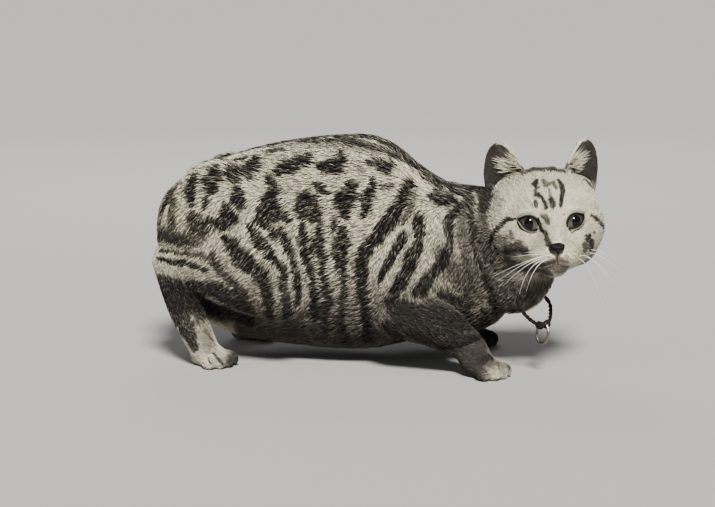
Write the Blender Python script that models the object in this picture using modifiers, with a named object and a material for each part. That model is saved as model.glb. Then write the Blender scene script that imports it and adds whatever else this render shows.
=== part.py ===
"""A Manx cat as a still, life-size model: a stocky tailless cat in a low crouch, head turned to its right.

Metres. +X runs towards the head, +Y to the cat's left, +Z up. The origin is on the floor under the middle
of the cat. Flesh is modelled whole from a few masses, smoothed, and then parted with thin cuts.
"""

import math

import bmesh
import bpy
import numpy as np
from mathutils import Euler, Matrix, Vector
from mathutils.bvhtree import BVHTree

# The gap between parted nodes.
GAP = 0.0003

# The size of the cat.
BACK_HEIGHT = 0.198
RUMP_X = -0.181
FLANK_HALF_WIDTH = 0.066

# The head: its frame is centred between the eyeballs, +X out of the nose and +Y to the cat's left.
HEAD_PLACE = (0.173, -0.047, 0.131)
HEAD_TURN_DEG = -76.0
HEAD_NOD_DEG = 1.0
HEAD_ROLL_DEG = 2.0
EYE_RADIUS = 0.0110
EYE_SPACING = 0.0350
LID_THICKNESS = 0.0018
EYE_OUT_DEG = 14.0
EYE_SLANT_DEG = 20.0
EYE_OPENING = (0.0215, 0.0142)
# How much of the opening's height is above and below its middle line, and how far its inner corner drops.
UPPER_LIFT, LOWER_LIFT = 0.54, 0.46
INNER_CORNER_DROP = 0.0010
OPENING_POINTS = 24
EAR_FOOT = (-0.036, 0.0305, 0.021)
EAR_HEIGHT = 0.043
EAR_WIDTH = 0.039
EAR_LEAN = {-1: 0.24, 1: 0.28}
EAR_LEAN_BACK = -0.06
EAR_FACING = (0.78, 0.55)
EAR_THICKNESS = 0.0022
# How the ear narrows to its tip, how far it rolls round at its foot and unrolls to its tip, and its cup.
EAR_TAPER, EAR_BLUNTNESS = 1.75, 0.50
EAR_TIP_HALF_WIDTH = 0.0022
EAR_ROLL_DEG, EAR_UNROLL_DEG = 88.0, 40.0
EAR_CUP = 0.62
EAR_TIP_BACK = 0.004

# The legs, as joint positions of the right side. The left side repeats them with its own offsets.
HIP = (-0.118, -0.030, 0.140)
KNEE = (-0.056, -0.060, 0.064)
HOCK = (-0.155, -0.050, 0.089)
HIND_PAW = (-0.117, -0.061, 0.0095)
SHOULDER = (0.078, -0.036, 0.124)
ELBOW = (0.046, -0.055, 0.050)
WRIST = (0.104, -0.056, 0.025)
FORE_PAW = (0.121, -0.066, 0.0095)
PAW_SIZE = (0.044, 0.033, 0.0220)
PAW_HEADING_DEG = {"fore": -38.0, "hind": -36.0}
LEFT_PAW_HEADING_DEG = {"fore": 6.0, "hind": 8.0}
TOE_COUNT = 4
# The left legs' lower joints lie a little further back or forward than the right ones.
LEFT_SHIFT = {"fore": -0.024, "hind": 0.010}
# The legs' radii at their joints, and along the forearm and the hind foot down to the paw.
HIP_RADIUS, KNEE_RADIUS, SHANK_RADIUS, HOCK_RADIUS = 0.038, 0.024, 0.024, 0.0155
SHOULDER_RADIUS, ELBOW_RADIUS = 0.030, 0.024
FOREARM_RADII = (0.0215, 0.0215, 0.0152, 0.0138)
HIND_FOOT_RADII = (0.0170, 0.0155, 0.0132)

# Where the flesh is parted: planes as a point and a normal, ovals as a middle and half sizes from the side.
FLOOR = ((0, 0, 0), (0, 0, -1))
HEAD_PLANE = ((0.135, -0.0145, 0.119), (0.685, -0.438, 0.582))
NECK_PLANE = ((0.108, 0, 0.100), (0.90, 0, 0.43))
RUMP_PLANE = ((-0.125, 0, 0.100), (-1, 0, 0))
SHANK_PLANE = ((-0.105, 0, 0.092), (-0.24, 0, -0.97))
ARM_OVAL = ((0.070, 0.100), (0.050, 0.050))
THIGH_OVAL = ((-0.107, 0.092), (0.078, 0.066))
LEG_INNER = 0.034
OVAL_SIDES = 28
LOWER_LEG = {"fore": "forearm", "hind": "hind_foot"}
# How much flesh is kept past a cut while the surface is thinned.
ROUGH_MARGIN = 0.004

# The collar: a cord that lies in the coat of the neck, with a ring at the throat.
COLLAR_CORD_RADIUS = 0.0022
COLLAR_CENTRE = (0.128, -0.0101, 0.1135)
COLLAR_LOWEST = (0.168, -0.045, 0.040)
COLLAR_AXIS = (0.685, -0.438, 0.582)
COLLAR_SEAT = -0.0005
COLLAR_POINTS = 42
COLLAR_EASING = 14
COLLAR_SLACK_POWER = 20
COLLARED = ("neck", "head", "torso", "upper_arm_left", "upper_arm_right")
RING_WIRE_RADIUS = 0.0013
RING_SIZE = (0.0156, 0.0196)
RING_POINTS = 20

# Voxels, rounds of smoothing and triangles kept.
BODY_VOXEL = 0.0024
FINE_VOXEL = 0.0012
BODY_SMOOTHING = 14
SKULL_SMOOTHING = 32
FACE_SMOOTHING = 8
FOOT_SMOOTHING = 4
BODY_TRIANGLES = 2600
HEAD_TRIANGLES = 2100
NOSE_TRIANGLES = 220
MOUTH_TRIANGLES = 260
LEG_TRIANGLES = 260
PAW_TRIANGLES = 400


def head_frame():
    turn = Matrix.Rotation(math.radians(HEAD_TURN_DEG), 4, "Z")
    nod = Matrix.Rotation(math.radians(HEAD_NOD_DEG), 4, "Y")
    roll = Matrix.Rotation(math.radians(HEAD_ROLL_DEG), 4, "X")
    return Matrix.Translation(HEAD_PLACE) @ turn @ nod @ roll


HEAD = head_frame()


def clear_scene():
    for obj in list(bpy.data.objects):
        bpy.data.objects.remove(obj)


def collection(name):
    made = bpy.data.collections.new(name)
    bpy.context.scene.collection.children.link(made)
    return made


def material(name, colour, roughness, metallic=0.0):
    made = bpy.data.materials.new(name)
    made.use_nodes = True
    shader = made.node_tree.nodes["Principled BSDF"]
    shader.inputs["Base Color"].default_value = (*colour, 1.0)
    shader.inputs["Roughness"].default_value = roughness
    shader.inputs["Metallic"].default_value = metallic
    made.diffuse_color = (*colour, 1.0)
    return made


def curve_through(stations, steps=6):
    """Catmull-Rom points through stations, tuples of any length."""
    known = np.array(stations, float)
    ends = np.vstack([2 * known[0] - known[1], known, 2 * known[-1] - known[-2]])
    made = []
    for i in range(1, len(ends) - 2):
        a, b, c, d = ends[i - 1 : i + 3]
        for t in np.arange(steps) / steps:
            bend = (2 * a - 5 * b + 4 * c - d) * t**2 + (3 * b - a - 3 * c + d) * t**3
            made.append(0.5 * (2 * b + (c - a) * t + bend))
    made.append(known[-1])
    return np.array(made)


def add_ball(bm, centre, radii, frame=None, turn=(0, 0, 0), detail=4):
    """An ellipsoid. turn is in degrees, about the frame's axes."""
    place = Matrix.Translation(centre) @ Euler([math.radians(a) for a in turn]).to_matrix().to_4x4()
    matrix = (frame or Matrix()) @ place @ Matrix.Diagonal((*radii, 1.0))
    bmesh.ops.create_icosphere(bm, subdivisions=detail, radius=1.0, matrix=matrix)


def add_masses(bm, masses, frame=None, detail=4):
    """Ellipsoids on both sides. masses are (middle, half sizes, turn) as they are on the left."""
    for side in (-1, 1):
        for (x, y, z), radii, (roll, pitch, yaw) in masses:
            add_ball(bm, (x, side * y, z), radii, frame, (side * roll, pitch, side * yaw), detail)


def add_rings(bm, rings):
    """A closed loft through rings of equally many points."""
    rows = [[bm.verts.new(point) for point in ring] for ring in rings]
    count = len(rows[0])
    for low, high in zip(rows, rows[1:]):
        for i in range(count):
            j = (i + 1) % count
            bm.faces.new((low[i], low[j], high[j], high[i]))
    bm.faces.new(rows[0][::-1])
    bm.faces.new(rows[-1])


def add_limb(bm, stations, frame=None, flat=1.0, sides=20):
    """A limb through (x, y, z, radius) stations, flattened sideways by flat, with round ends."""
    frame = frame or Matrix()
    path = curve_through(stations)
    points = [frame @ Vector(p[:3]) for p in path]
    across = (frame.to_3x3() @ Vector((0, 1, 0))).normalized()
    rings = []
    for i, point in enumerate(points):
        along = points[min(i + 1, len(points) - 1)] - points[max(i - 1, 0)]
        side = (across - along * (across.dot(along) / along.length_squared)).normalized()
        up = along.normalized().cross(side)
        radius = path[i][3]
        turns = [2 * math.pi * k / sides for k in range(sides)]
        wide, high = side * radius * flat, up * radius
        rings.append([point + wide * math.cos(a) + high * math.sin(a) for a in turns])
    add_rings(bm, rings)
    for end in (stations[0], stations[-1]):
        add_ball(bm, end[:3], (end[3], end[3] * flat, end[3]), frame)


def mirrored(point, side):
    """point as given for the right side, which is side -1, or carried over to the left."""
    return (point[0], -side * point[1], point[2], *point[3:])


def leg_joints(limb, side):
    """The joints of a leg, root first. A left leg's lower joints are shifted along the body."""
    joints = {"fore": (SHOULDER, ELBOW, WRIST, FORE_PAW), "hind": (HIP, KNEE, HOCK, HIND_PAW)}[limb]
    placed = []
    for share, joint in zip((0.0, 0.6, 1.0, 1.0), joints):
        shift = LEFT_SHIFT[limb] * share if side > 0 else 0.0
        x, y, z = mirrored(joint, side)
        placed.append((x + shift, y, z))
    return placed


# The trunk, as (x, top, bottom, half width) from the rump to the breast.
TRUNK = [
    (RUMP_X + 0.002, 0.130, 0.098, 0.014),
    (RUMP_X + 0.011, 0.146, 0.072, 0.034),
    (-0.146, 0.163, 0.036, 0.052),
    (-0.108, 0.180, 0.018, 0.060),
    (-0.062, 0.192, 0.011, 0.062),
    (-0.016, 0.1975, 0.008, FLANK_HALF_WIDTH),
    (0.012, BACK_HEIGHT, 0.009, FLANK_HALF_WIDTH),
    (0.034, 0.189, 0.013, 0.063),
    (0.054, 0.173, 0.019, 0.056),
    (0.078, 0.158, 0.024, 0.051),
    (0.104, 0.149, 0.027, 0.045),
    (0.124, 0.136, 0.034, 0.035),
    (0.136, 0.114, 0.052, 0.019),
]
TRUNK_SIDES = 36
TRUNK_SQUARENESS = 2.25
TRUNK_SAG = 0.10


def add_trunk(bm):
    """The trunk's sections are rounded, and wider below their middle than above it."""
    rings = []
    for x, top, bottom, half in curve_through(TRUNK, 4):
        ring = []
        for k in range(TRUNK_SIDES):
            a = 2 * math.pi * k / TRUNK_SIDES
            wide = math.copysign(abs(math.cos(a)) ** (2 / TRUNK_SQUARENESS), math.cos(a))
            high = math.copysign(abs(math.sin(a)) ** (2 / TRUNK_SQUARENESS), math.sin(a))
            y = half * wide * (1 - TRUNK_SAG * high)
            z = (top + bottom) / 2 + (top - bottom) / 2 * high
            ring.append(Vector((x, y, z)))
        rings.append(ring)
    add_rings(bm, rings)


# The neck's stations, from between the shoulders to the back of the head, and the fur of the throat.
NECK = [
    (0.060, 0.000, 0.112, 0.046),
    (0.100, 0.002, 0.111, 0.044),
    (0.132, 0.000, 0.113, 0.041),
    (0.152, -0.010, 0.118, 0.038),
]
NAPE_IN_HEAD = (-0.034, 0.0, -0.014)
NAPE_RADIUS = 0.033
THROAT = (0.145, -0.021, 0.081)
THROAT_SIZE = (0.030, 0.029, 0.036)


def add_neck(bm):
    add_limb(bm, [*NECK, (*(HEAD @ Vector(NAPE_IN_HEAD)), NAPE_RADIUS)], sides=28)
    add_ball(bm, THROAT, THROAT_SIZE, turn=(0, 30, 0))


# The haunch's two masses and the shoulder's, and how flat the upper legs are.
HAUNCH = [
    ((-0.112, 0.040, 0.112), (0.056, 0.031, 0.058), (0, 25, 0)),
    ((-0.078, 0.050, 0.084), (0.042, 0.026, 0.040), (0, 40, 0)),
]
SHOULDER_MASSES = [
    ((0.066, 0.034, 0.120), (0.038, 0.021, 0.034), (0, 30, 0)),
    ((0.084, 0.040, 0.094), (0.032, 0.021, 0.036), (0, 0, 0)),
]
UPPER_LEG_FLATNESS = 0.80
SHANK_FLATNESS = 0.85
SHANK_SAG = 0.002


def add_upper_legs(bm, side):
    """The thigh and the shank down to the hock, and the upper arm down to the elbow."""
    hip, knee, hock, _ = leg_joints("hind", side)
    add_limb(bm, [(*hip, HIP_RADIUS), (*knee, KNEE_RADIUS)], flat=UPPER_LEG_FLATNESS)
    middle = Vector(knee).lerp(Vector(hock), 0.5) - Vector((0, 0, SHANK_SAG))
    shank = [(*knee, KNEE_RADIUS), (*middle, SHANK_RADIUS), (*hock, HOCK_RADIUS)]
    add_limb(bm, shank, flat=SHANK_FLATNESS)
    shoulder, elbow, _, _ = leg_joints("fore", side)
    add_limb(bm, [(*shoulder, SHOULDER_RADIUS), (*elbow, ELBOW_RADIUS)], flat=UPPER_LEG_FLATNESS)


# How far the forearm bows up and the hind foot back at their middles, and where they end in the paws.
FOREARM_BOW = 0.006
HIND_FOOT_BOW = 0.006
HEEL_OUT = (-0.001, 0.0, 0.001)
FOREARM_END = (-0.008, 0.002, 0.0055)
HIND_FOOT_END = (-0.008, 0.0, 0.0070)


def leg_stations(limb, side):
    """A lower leg's stations: the forearm from the elbow, or the long hind foot from the heel."""
    _, elbow, wrist, paw = (Vector(joint) for joint in leg_joints(limb, side))
    if limb == "fore":
        middle = elbow.lerp(wrist, 0.5) + Vector((0, 0, FOREARM_BOW))
        end = paw + Vector(mirrored(FOREARM_END, side))
        return [(*point, radius) for point, radius in zip((elbow, middle, wrist, end), FOREARM_RADII)]
    heel = wrist + Vector(HEEL_OUT)
    middle = wrist.lerp(paw, 0.5) - Vector((HIND_FOOT_BOW, 0, 0))
    end = paw + Vector(HIND_FOOT_END)
    return [(*point, radius) for point, radius in zip((heel, middle, end), HIND_FOOT_RADII)]


# The paw's two masses, as shares of its size, and its toes: where their arc lies and how they are shaped.
PAW_PADS = [((-0.004, 0, -0.001), (0.40, 0.44, 0.50)), ((-0.012, 0, -0.001), (0.25, 0.40, 0.46))]
TOE_SIZE = (0.0095, 0.0056, 0.0074)
TOE_REACH, TOE_ARC = 0.30, 0.42
TOE_SPREAD, TOE_DROP = 0.76, 0.14
TOE_FAN_DEG, TOE_DIP_DEG = 40.0, 10.0


def add_paw(bm, place, heading_deg):
    """A paw with its toes in an arc. heading_deg is its direction, from +X towards +Y."""
    length, width, height = PAW_SIZE
    frame = Matrix.Translation(place) @ Matrix.Rotation(math.radians(heading_deg), 4, "Z")
    for centre, shares in PAW_PADS:
        add_ball(bm, centre, [size * share for size, share in zip(PAW_SIZE, shares)], frame)
    for i in range(TOE_COUNT):
        spread = i / (TOE_COUNT - 1) - 0.5
        reach = length * (TOE_REACH - TOE_ARC * spread**2)
        toe = (reach, width * TOE_SPREAD * spread, -height * TOE_DROP)
        add_ball(bm, toe, TOE_SIZE, frame, turn=(0, TOE_DIP_DEG, TOE_FAN_DEG * spread))


def fused(name, bm, voxel, smoothing):
    """The masses in bm as one closed surface, fused by voxels and smoothed."""
    obj = mesh_object(name, bm)
    fuse = obj.modifiers.new("fuse", "REMESH")
    fuse.mode = "VOXEL"
    fuse.voxel_size = voxel
    smooth = obj.modifiers.new("smooth", "SMOOTH")
    smooth.factor = 0.5
    smooth.iterations = smoothing
    apply_modifiers(obj)
    keep_largest(obj)
    return obj


def thinned(obj, triangles):
    """obj with its surface brought down to about so many triangles."""
    obj.data.calc_loop_triangles()
    thin = obj.modifiers.new("thin", "DECIMATE")
    thin.ratio = triangles / len(obj.data.loop_triangles)
    apply_modifiers(obj)
    return obj


def apply_modifiers(obj):
    graph = bpy.context.evaluated_depsgraph_get()
    graph.update()
    made = bpy.data.meshes.new_from_object(obj.evaluated_get(graph))
    obj.modifiers.clear()
    obj.data = made


def islands(bm):
    """The faces of each connected surface."""
    seen, found = set(), []
    for face in bm.faces:
        if face in seen:
            continue
        seen.add(face)
        stack, group = [face], []
        while stack:
            current = stack.pop()
            group.append(current)
            for edge in current.edges:
                for other in edge.link_faces:
                    if other not in seen:
                        seen.add(other)
                        stack.append(other)
        found.append(group)
    return found


def keep_largest(obj):
    bm = bmesh.new()
    bm.from_mesh(obj.data)
    groups = islands(bm)
    if len(groups) > 1:
        largest = max(groups, key=lambda g: sum(f.calc_area() for f in g))
        spare = [face for group in groups if group is not largest for face in group]
        bmesh.ops.delete(bm, geom=spare, context="FACES")
    bm.to_mesh(obj.data)
    bm.free()


def copy_of(obj, name):
    made = bpy.data.objects.new(name, obj.data.copy())
    bpy.context.scene.collection.objects.link(made)
    return made


def combine(obj, cutter, operation):
    step = obj.modifiers.new("cut", "BOOLEAN")
    step.operation = operation
    step.solver = "EXACT"
    step.object = cutter
    apply_modifiers(obj)
    keep_largest(obj)


def cutter_of(bm):
    obj = mesh_object("cutter", bm)
    obj.hide_render = True
    obj.display_type = "WIRE"
    return obj


def mesh_object(name, bm):
    mesh = bpy.data.meshes.new(name)
    bmesh.ops.recalc_face_normals(bm, faces=bm.faces)
    bm.to_mesh(mesh)
    bm.free()
    obj = bpy.data.objects.new(name, mesh)
    bpy.context.scene.collection.objects.link(obj)
    return obj


REACH = 0.6


def beyond(plane, grow):
    """A block that fills the side of a plane that its normal points to, and grow more."""
    point, normal = plane
    facing = Vector(normal).normalized()
    turn = facing.to_track_quat("X", "Z").to_matrix().to_4x4()
    centre = Vector(point) + facing * (REACH / 2 - grow)
    bm = bmesh.new()
    bmesh.ops.create_cube(bm, size=REACH, matrix=Matrix.Translation(centre) @ turn)
    return cutter_of(bm)


def oval_block(oval, side, grow):
    """A block from beside the spine out through a flank, and an oval from the side."""
    (x, z), (long, high) = oval
    bm = bmesh.new()
    rings = []
    for y in (side * (LEG_INNER - grow), side * REACH):
        turns = [2 * math.pi * k / OVAL_SIDES for k in range(OVAL_SIDES)]
        wide, tall = long + grow, high + grow
        rings.append([Vector((x + wide * math.cos(a), y, z + tall * math.sin(a))) for a in turns])
    add_rings(bm, rings)
    return cutter_of(bm)


def take(obj, cutter, operation):
    """Cuts obj and removes the cutter."""
    combine(obj, cutter, operation)
    bpy.data.objects.remove(cutter)


def part_off(obj, name, make_cutter):
    """Parts what is inside the cutter off obj, as a new object. make_cutter takes how much larger to be."""
    piece = copy_of(obj, name)
    take(piece, make_cutter(-GAP / 2), "INTERSECT")
    take(obj, make_cutter(GAP / 2), "DIFFERENCE")
    return piece


def swollen(obj, by):
    """A copy of obj with its surface moved out, to cut its seat in a neighbour."""
    made = copy_of(obj, "cutter")
    made.hide_render = True
    push = made.modifiers.new("push", "DISPLACE")
    push.strength = by
    push.mid_level = 0.0
    apply_modifiers(made)
    return made


# The head's soft masses, in its frame: skull, forehead, nape and the muzzle's root.
SKULL = [
    ((-0.034, 0, 0.005), (0.040, 0.0440, 0.0385)),
    ((-0.012, 0, 0.013), (0.021, 0.031, 0.025)),
    ((-0.030, 0, -0.020), (0.034, 0.038, 0.026)),
    ((0.010, 0, -0.0220), (0.0200, 0.0200, 0.0150)),
]
# Those on both sides: the cheek, its ruff, the brow, the temple and the foot of the ear.
SKULL_SIDES = [
    ((-0.022, 0.0235, -0.008), (0.026, 0.027, 0.030), (0, 0, 0)),
    ((-0.004, 0.022, -0.017), (0.018, 0.017, 0.017), (0, 0, 0)),
    ((-0.001, 0.018, 0.0105), (0.012, 0.014, 0.0075), (-12, 0, 0)),
    ((-0.024, 0.027, 0.012), (0.022, 0.0175, 0.021), (0, 0, 0)),
    ((-0.036, 0.0305, 0.022), (0.0150, 0.0130, 0.0120), (0, 0, 0)),
]
NOSE_BRIDGE = [(0.002, 0, 0.008, 0.0110), (0.016, 0, -0.004, 0.0098), (0.028, 0, -0.014, 0.0075)]
JAW = [(0.012, 0, -0.033, 0.0105), (-0.022, -0.025, -0.024, 0.019)]
# What stays crisp on the face: the muzzle and the chin, and on both sides the eye's corner and the lip pad.
MUZZLE = [
    ((0.014, 0, -0.0215), (0.0205, 0.0175, 0.0145)),
    ((0.013, 0, -0.0345), (0.0155, 0.0128, 0.0108)),
]
MUZZLE_SIDES = [
    ((0.0080, 0.0085, -0.0065), (0.0065, 0.0060, 0.0065), (0, 0, 0)),
    ((0.0200, 0.0100, -0.0246), (0.0138, 0.0118, 0.0106), (0, 0, 20)),
]


def add_skull(bm):
    """The soft round masses of a broad head."""
    for centre, radii in SKULL:
        add_ball(bm, centre, radii, HEAD)
    add_masses(bm, SKULL_SIDES, HEAD)
    add_limb(bm, NOSE_BRIDGE, HEAD)
    for side in (-1, 1):
        add_limb(bm, [mirrored(station, side) for station in JAW], HEAD)


def add_face(bm):
    """What stays crisp on the face, with the lids' domes."""
    for centre, radii in MUZZLE:
        add_ball(bm, centre, radii, HEAD)
    add_masses(bm, MUZZLE_SIDES, HEAD)
    for side in (-1, 1):
        add_ball(bm, (0, side * EYE_SPACING / 2, 0), [EYE_RADIUS + LID_THICKNESS] * 3, HEAD)


def eye_axis(side):
    """Where an eye looks, in the head's frame."""
    out = math.radians(EYE_OUT_DEG)
    return Vector((math.cos(out), side * math.sin(out), 0.06)).normalized()


def eye_frame(side):
    """A frame at an eyeball's centre: +X along its axis, +Y along the opening, slanting up and outwards."""
    axis = eye_axis(side)
    slant = math.radians(EYE_SLANT_DEG)
    level = Vector((0, 0, 1)).cross(axis).normalized()
    up = axis.cross(level)
    along = level * math.cos(slant) + up * math.sin(slant) * side
    across = axis.cross(along)
    turn = Matrix((axis, along, across)).transposed().to_4x4()
    return HEAD @ Matrix.Translation((0, side * EYE_SPACING / 2, 0)) @ turn


def eye_opening(side):
    """An almond block out through the lids: round above, flatter below, with a drawn-out inner corner."""
    width, height = EYE_OPENING
    bm = bmesh.new()
    frame = eye_frame(side)
    rings = []
    for depth in (0.0, 3 * EYE_RADIUS):
        ring = []
        for k in range(OPENING_POINTS):
            a = 2 * math.pi * k / OPENING_POINTS
            inner = max(0.0, -side * math.cos(a))
            y = width / 2 * math.cos(a)
            lift = height * (UPPER_LIFT if math.sin(a) > 0 else LOWER_LIFT)
            z = lift * math.copysign(abs(math.sin(a)) ** (1.0 + 0.5 * inner), math.sin(a))
            ring.append(frame @ Vector((depth, y, z - INNER_CORNER_DROP * inner)))
        rings.append(ring)
    add_rings(bm, rings)
    return cutter_of(bm)


def add_eyeball(bm, side, clearance):
    add_ball(bm, (0, 0, 0), [EYE_RADIUS + clearance] * 3, eye_frame(side), detail=3)


def eye_socket(side):
    bm = bmesh.new()
    add_eyeball(bm, side, GAP)
    return cutter_of(bm)


def eyeball(side):
    bm = bmesh.new()
    add_eyeball(bm, side, 0.0)
    return mesh_object("eye" + side_name(side), bm)


def side_name(side):
    return "_left" if side > 0 else "_right"


# The nose leather: its broad top, its narrow foot, and the wings on both sides, where the nostrils open.
NOSE_MASSES = [
    ((0.0332, 0.0, -0.0164), (0.0048, 0.0065, 0.0034)),
    ((0.0345, 0.0, -0.0205), (0.0036, 0.0036, 0.0042)),
    ((0.0322, 0.0041, -0.0176), (0.0046, 0.0029, 0.0032)),
    ((0.0322, -0.0041, -0.0176), (0.0046, 0.0029, 0.0032)),
]
NOSTRILS = [
    ((0.0368, 0.0038, -0.0178), (0.0030, 0.0011, 0.0013), (0, 0, 30)),
    ((0.0345, 0.0060, -0.0170), (0.0030, 0.0016, 0.0007), (0, 0, 45)),
]


def nose_pad(name, grow):
    bm = bmesh.new()
    for centre, radii in NOSE_MASSES:
        add_ball(bm, centre, [radius + grow for radius in radii], HEAD)
    return thinned(fused(name, bm, FINE_VOXEL / 2, 3), NOSE_TRIANGLES)


def nostrils():
    """Round holes that run out sideways into slits."""
    bm = bmesh.new()
    add_masses(bm, NOSTRILS, HEAD, detail=2)
    return cutter_of(bm)


MOUTH_RADIUS = 0.0009
FURROW_RADIUS = 0.0007
# Where the mouth runs, as heights below the eye line at distances out from the middle.
MOUTH_LINE = [(0.0, -0.0300), (0.0050, -0.0335), (0.0105, -0.0338), (0.0160, -0.0322), (0.0200, -0.0300)]
PHILTRUM = [(0.0, -0.0245), (0.0, -0.0300)]


def add_groove(bm, surface, line, radius, side):
    """A round cutter along a line on the front of the face, dropped onto the surface from ahead."""
    stations = []
    for out, height in curve_through(line, 2):
        start = HEAD @ Vector((0.080, side * out, height))
        ahead = HEAD.to_3x3() @ Vector((-1, 0, 0))
        hit = surface.ray_cast(start, ahead)[0]
        if hit:
            stations.append((*hit, radius))
    add_limb(bm, stations, sides=8)


def mouth(head):
    """The line of the mouth between the lips, and the furrow up to the nose."""
    bm = bmesh.new()
    surface = BVHTree.FromObject(head, bpy.context.evaluated_depsgraph_get())
    add_groove(bm, surface, PHILTRUM, FURROW_RADIUS, 1)
    for side in (-1, 1):
        add_groove(bm, surface, MOUTH_LINE, MOUTH_RADIUS, side)
    cutter = thinned(fused("cutter", bm, FINE_VOXEL / 2, 1), MOUTH_TRIANGLES)
    cutter.hide_render = True
    return cutter


EAR_ROWS, EAR_COLUMNS, EAR_ROW_SPACING = 10, 8, 1.5


def ear(side):
    """The ear: a curved sheet, rolled into a cup at its foot and rounded at the tip, with its thickness."""
    up = Vector((EAR_LEAN_BACK, side * EAR_LEAN[side], 1.0)).normalized()
    facing = Vector((EAR_FACING[0], side * EAR_FACING[1], 0.0))
    facing = (facing - up * facing.dot(up)).normalized()
    across = up.cross(facing)
    foot = Vector((EAR_FOOT[0], side * EAR_FOOT[1], EAR_FOOT[2]))
    bm = bmesh.new()
    rows = []
    for i in range(EAR_ROWS + 1):
        s = 1 - (1 - i / EAR_ROWS) ** EAR_ROW_SPACING
        wide = EAR_WIDTH / 2 * (1 - s**EAR_TAPER) ** EAR_BLUNTNESS + EAR_TIP_HALF_WIDTH
        roll = math.radians(EAR_ROLL_DEG - EAR_UNROLL_DEG * s)
        row = []
        for j in range(EAR_COLUMNS + 1):
            t = 2 * j / EAR_COLUMNS - 1
            y = wide * math.sin(roll * t) / math.sin(roll)
            x = -wide * (math.cos(roll * t) - math.cos(roll)) / math.sin(roll) * EAR_CUP
            point = foot + up * (EAR_HEIGHT * s) + across * y + facing * (x - EAR_TIP_BACK * s * s)
            row.append(bm.verts.new(HEAD @ point))
        rows.append(row)
    for low, high in zip(rows, rows[1:]):
        for a, b, c, d in zip(low, low[1:], high[1:], high):
            bm.faces.new((a, b, c, d))
    obj = mesh_object("ear" + side_name(side), bm)
    wall = obj.modifiers.new("wall", "SOLIDIFY")
    wall.thickness = EAR_THICKNESS
    wall.offset = 0.0
    apply_modifiers(obj)
    return obj


def make_head():
    """The head and what sits on it."""
    bm = bmesh.new()
    add_skull(bm)
    add_neck(bm)
    skull = fused("head", bm, FINE_VOXEL, SKULL_SMOOTHING)
    bm = bmesh.new()
    add_face(bm)
    bm.from_mesh(skull.data)
    bpy.data.objects.remove(skull)
    head = fused("head", bm, FINE_VOXEL, FACE_SMOOTHING)
    take(head, beyond(HEAD_PLANE, ROUGH_MARGIN), "INTERSECT")
    thinned(head, HEAD_TRIANGLES)
    take(head, beyond(HEAD_PLANE, -GAP / 2), "INTERSECT")
    cutters = [mouth(head), nose_pad("cutter", GAP)]
    for side in (-1, 1):
        cutters += [eye_opening(side), eye_socket(side)]
    for cutter in cutters:
        take(head, cutter, "DIFFERENCE")
    nose = nose_pad("nose", 0.0)
    take(nose, nostrils(), "DIFFERENCE")
    ears = [ear(side) for side in (-1, 1)]
    for piece in ears:
        take(piece, swollen(head, GAP), "DIFFERENCE")
    return [head, nose, *ears, eyeball(-1), eyeball(1)]


def make_foot(limb, side):
    """A lower leg down to its paw, as two nodes, and a flat sole on the floor."""
    root, paw_place = leg_joints(limb, side)[-2:]
    stations = leg_stations(limb, side)
    leg_bm = bmesh.new()
    add_limb(leg_bm, stations)
    leg = thinned(fused(LOWER_LEG[limb] + side_name(side), leg_bm, FINE_VOXEL, FOOT_SMOOTHING), LEG_TRIANGLES)
    heading = PAW_HEADING_DEG[limb] if side < 0 else LEFT_PAW_HEADING_DEG[limb]
    paw_bm = bmesh.new()
    add_paw(paw_bm, paw_place, heading)
    add_limb(paw_bm, stations[-3:])
    paw = thinned(fused(limb + "_paw" + side_name(side), paw_bm, FINE_VOXEL, FOOT_SMOOTHING), PAW_TRIANGLES)
    down = Vector(paw_place) - Vector(root)
    ankle = Vector(paw_place) + Vector((0, 0, PAW_SIZE[2] * 0.5)) - down.normalized() * PAW_SIZE[0] * 0.30
    take(paw, beyond((ankle, down), -GAP / 2), "INTERSECT")
    take(leg, beyond((ankle, down), GAP / 2), "DIFFERENCE")
    take(paw, beyond(FLOOR, 0.0), "DIFFERENCE")
    return [leg, paw]


def make_body():
    """The trunk, neck and upper legs, modelled whole and parted."""
    bm = bmesh.new()
    add_trunk(bm)
    add_neck(bm)
    add_skull(bm)
    add_masses(bm, HAUNCH)
    add_masses(bm, SHOULDER_MASSES)
    for side in (-1, 1):
        add_upper_legs(bm, side)
    torso = fused("torso", bm, BODY_VOXEL, BODY_SMOOTHING)
    take(torso, beyond(HEAD_PLANE, -ROUGH_MARGIN), "DIFFERENCE")
    thinned(torso, BODY_TRIANGLES)
    take(torso, beyond(HEAD_PLANE, GAP / 2), "DIFFERENCE")
    return torso


def part_body(torso, feet):
    """The torso's nodes. The feet's seats are cut before the legs are parted off."""
    for foot in feet:
        take(torso, swollen(foot, GAP), "DIFFERENCE")
    nodes = [part_off(torso, "neck", lambda grow: beyond(NECK_PLANE, grow))]
    for side in (-1, 1):
        name = side_name(side)
        arm = part_off(torso, "upper_arm" + name, lambda grow: oval_block(ARM_OVAL, side, grow))
        thigh = part_off(torso, "thigh" + name, lambda grow: oval_block(THIGH_OVAL, side, grow))
        shank = part_off(thigh, "shank" + name, lambda grow: beyond(SHANK_PLANE, grow))
        nodes += [arm, thigh, shank]
    nodes.append(part_off(torso, "rump", lambda grow: beyond(RUMP_PLANE, grow)))
    return [torso, *nodes]


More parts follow.
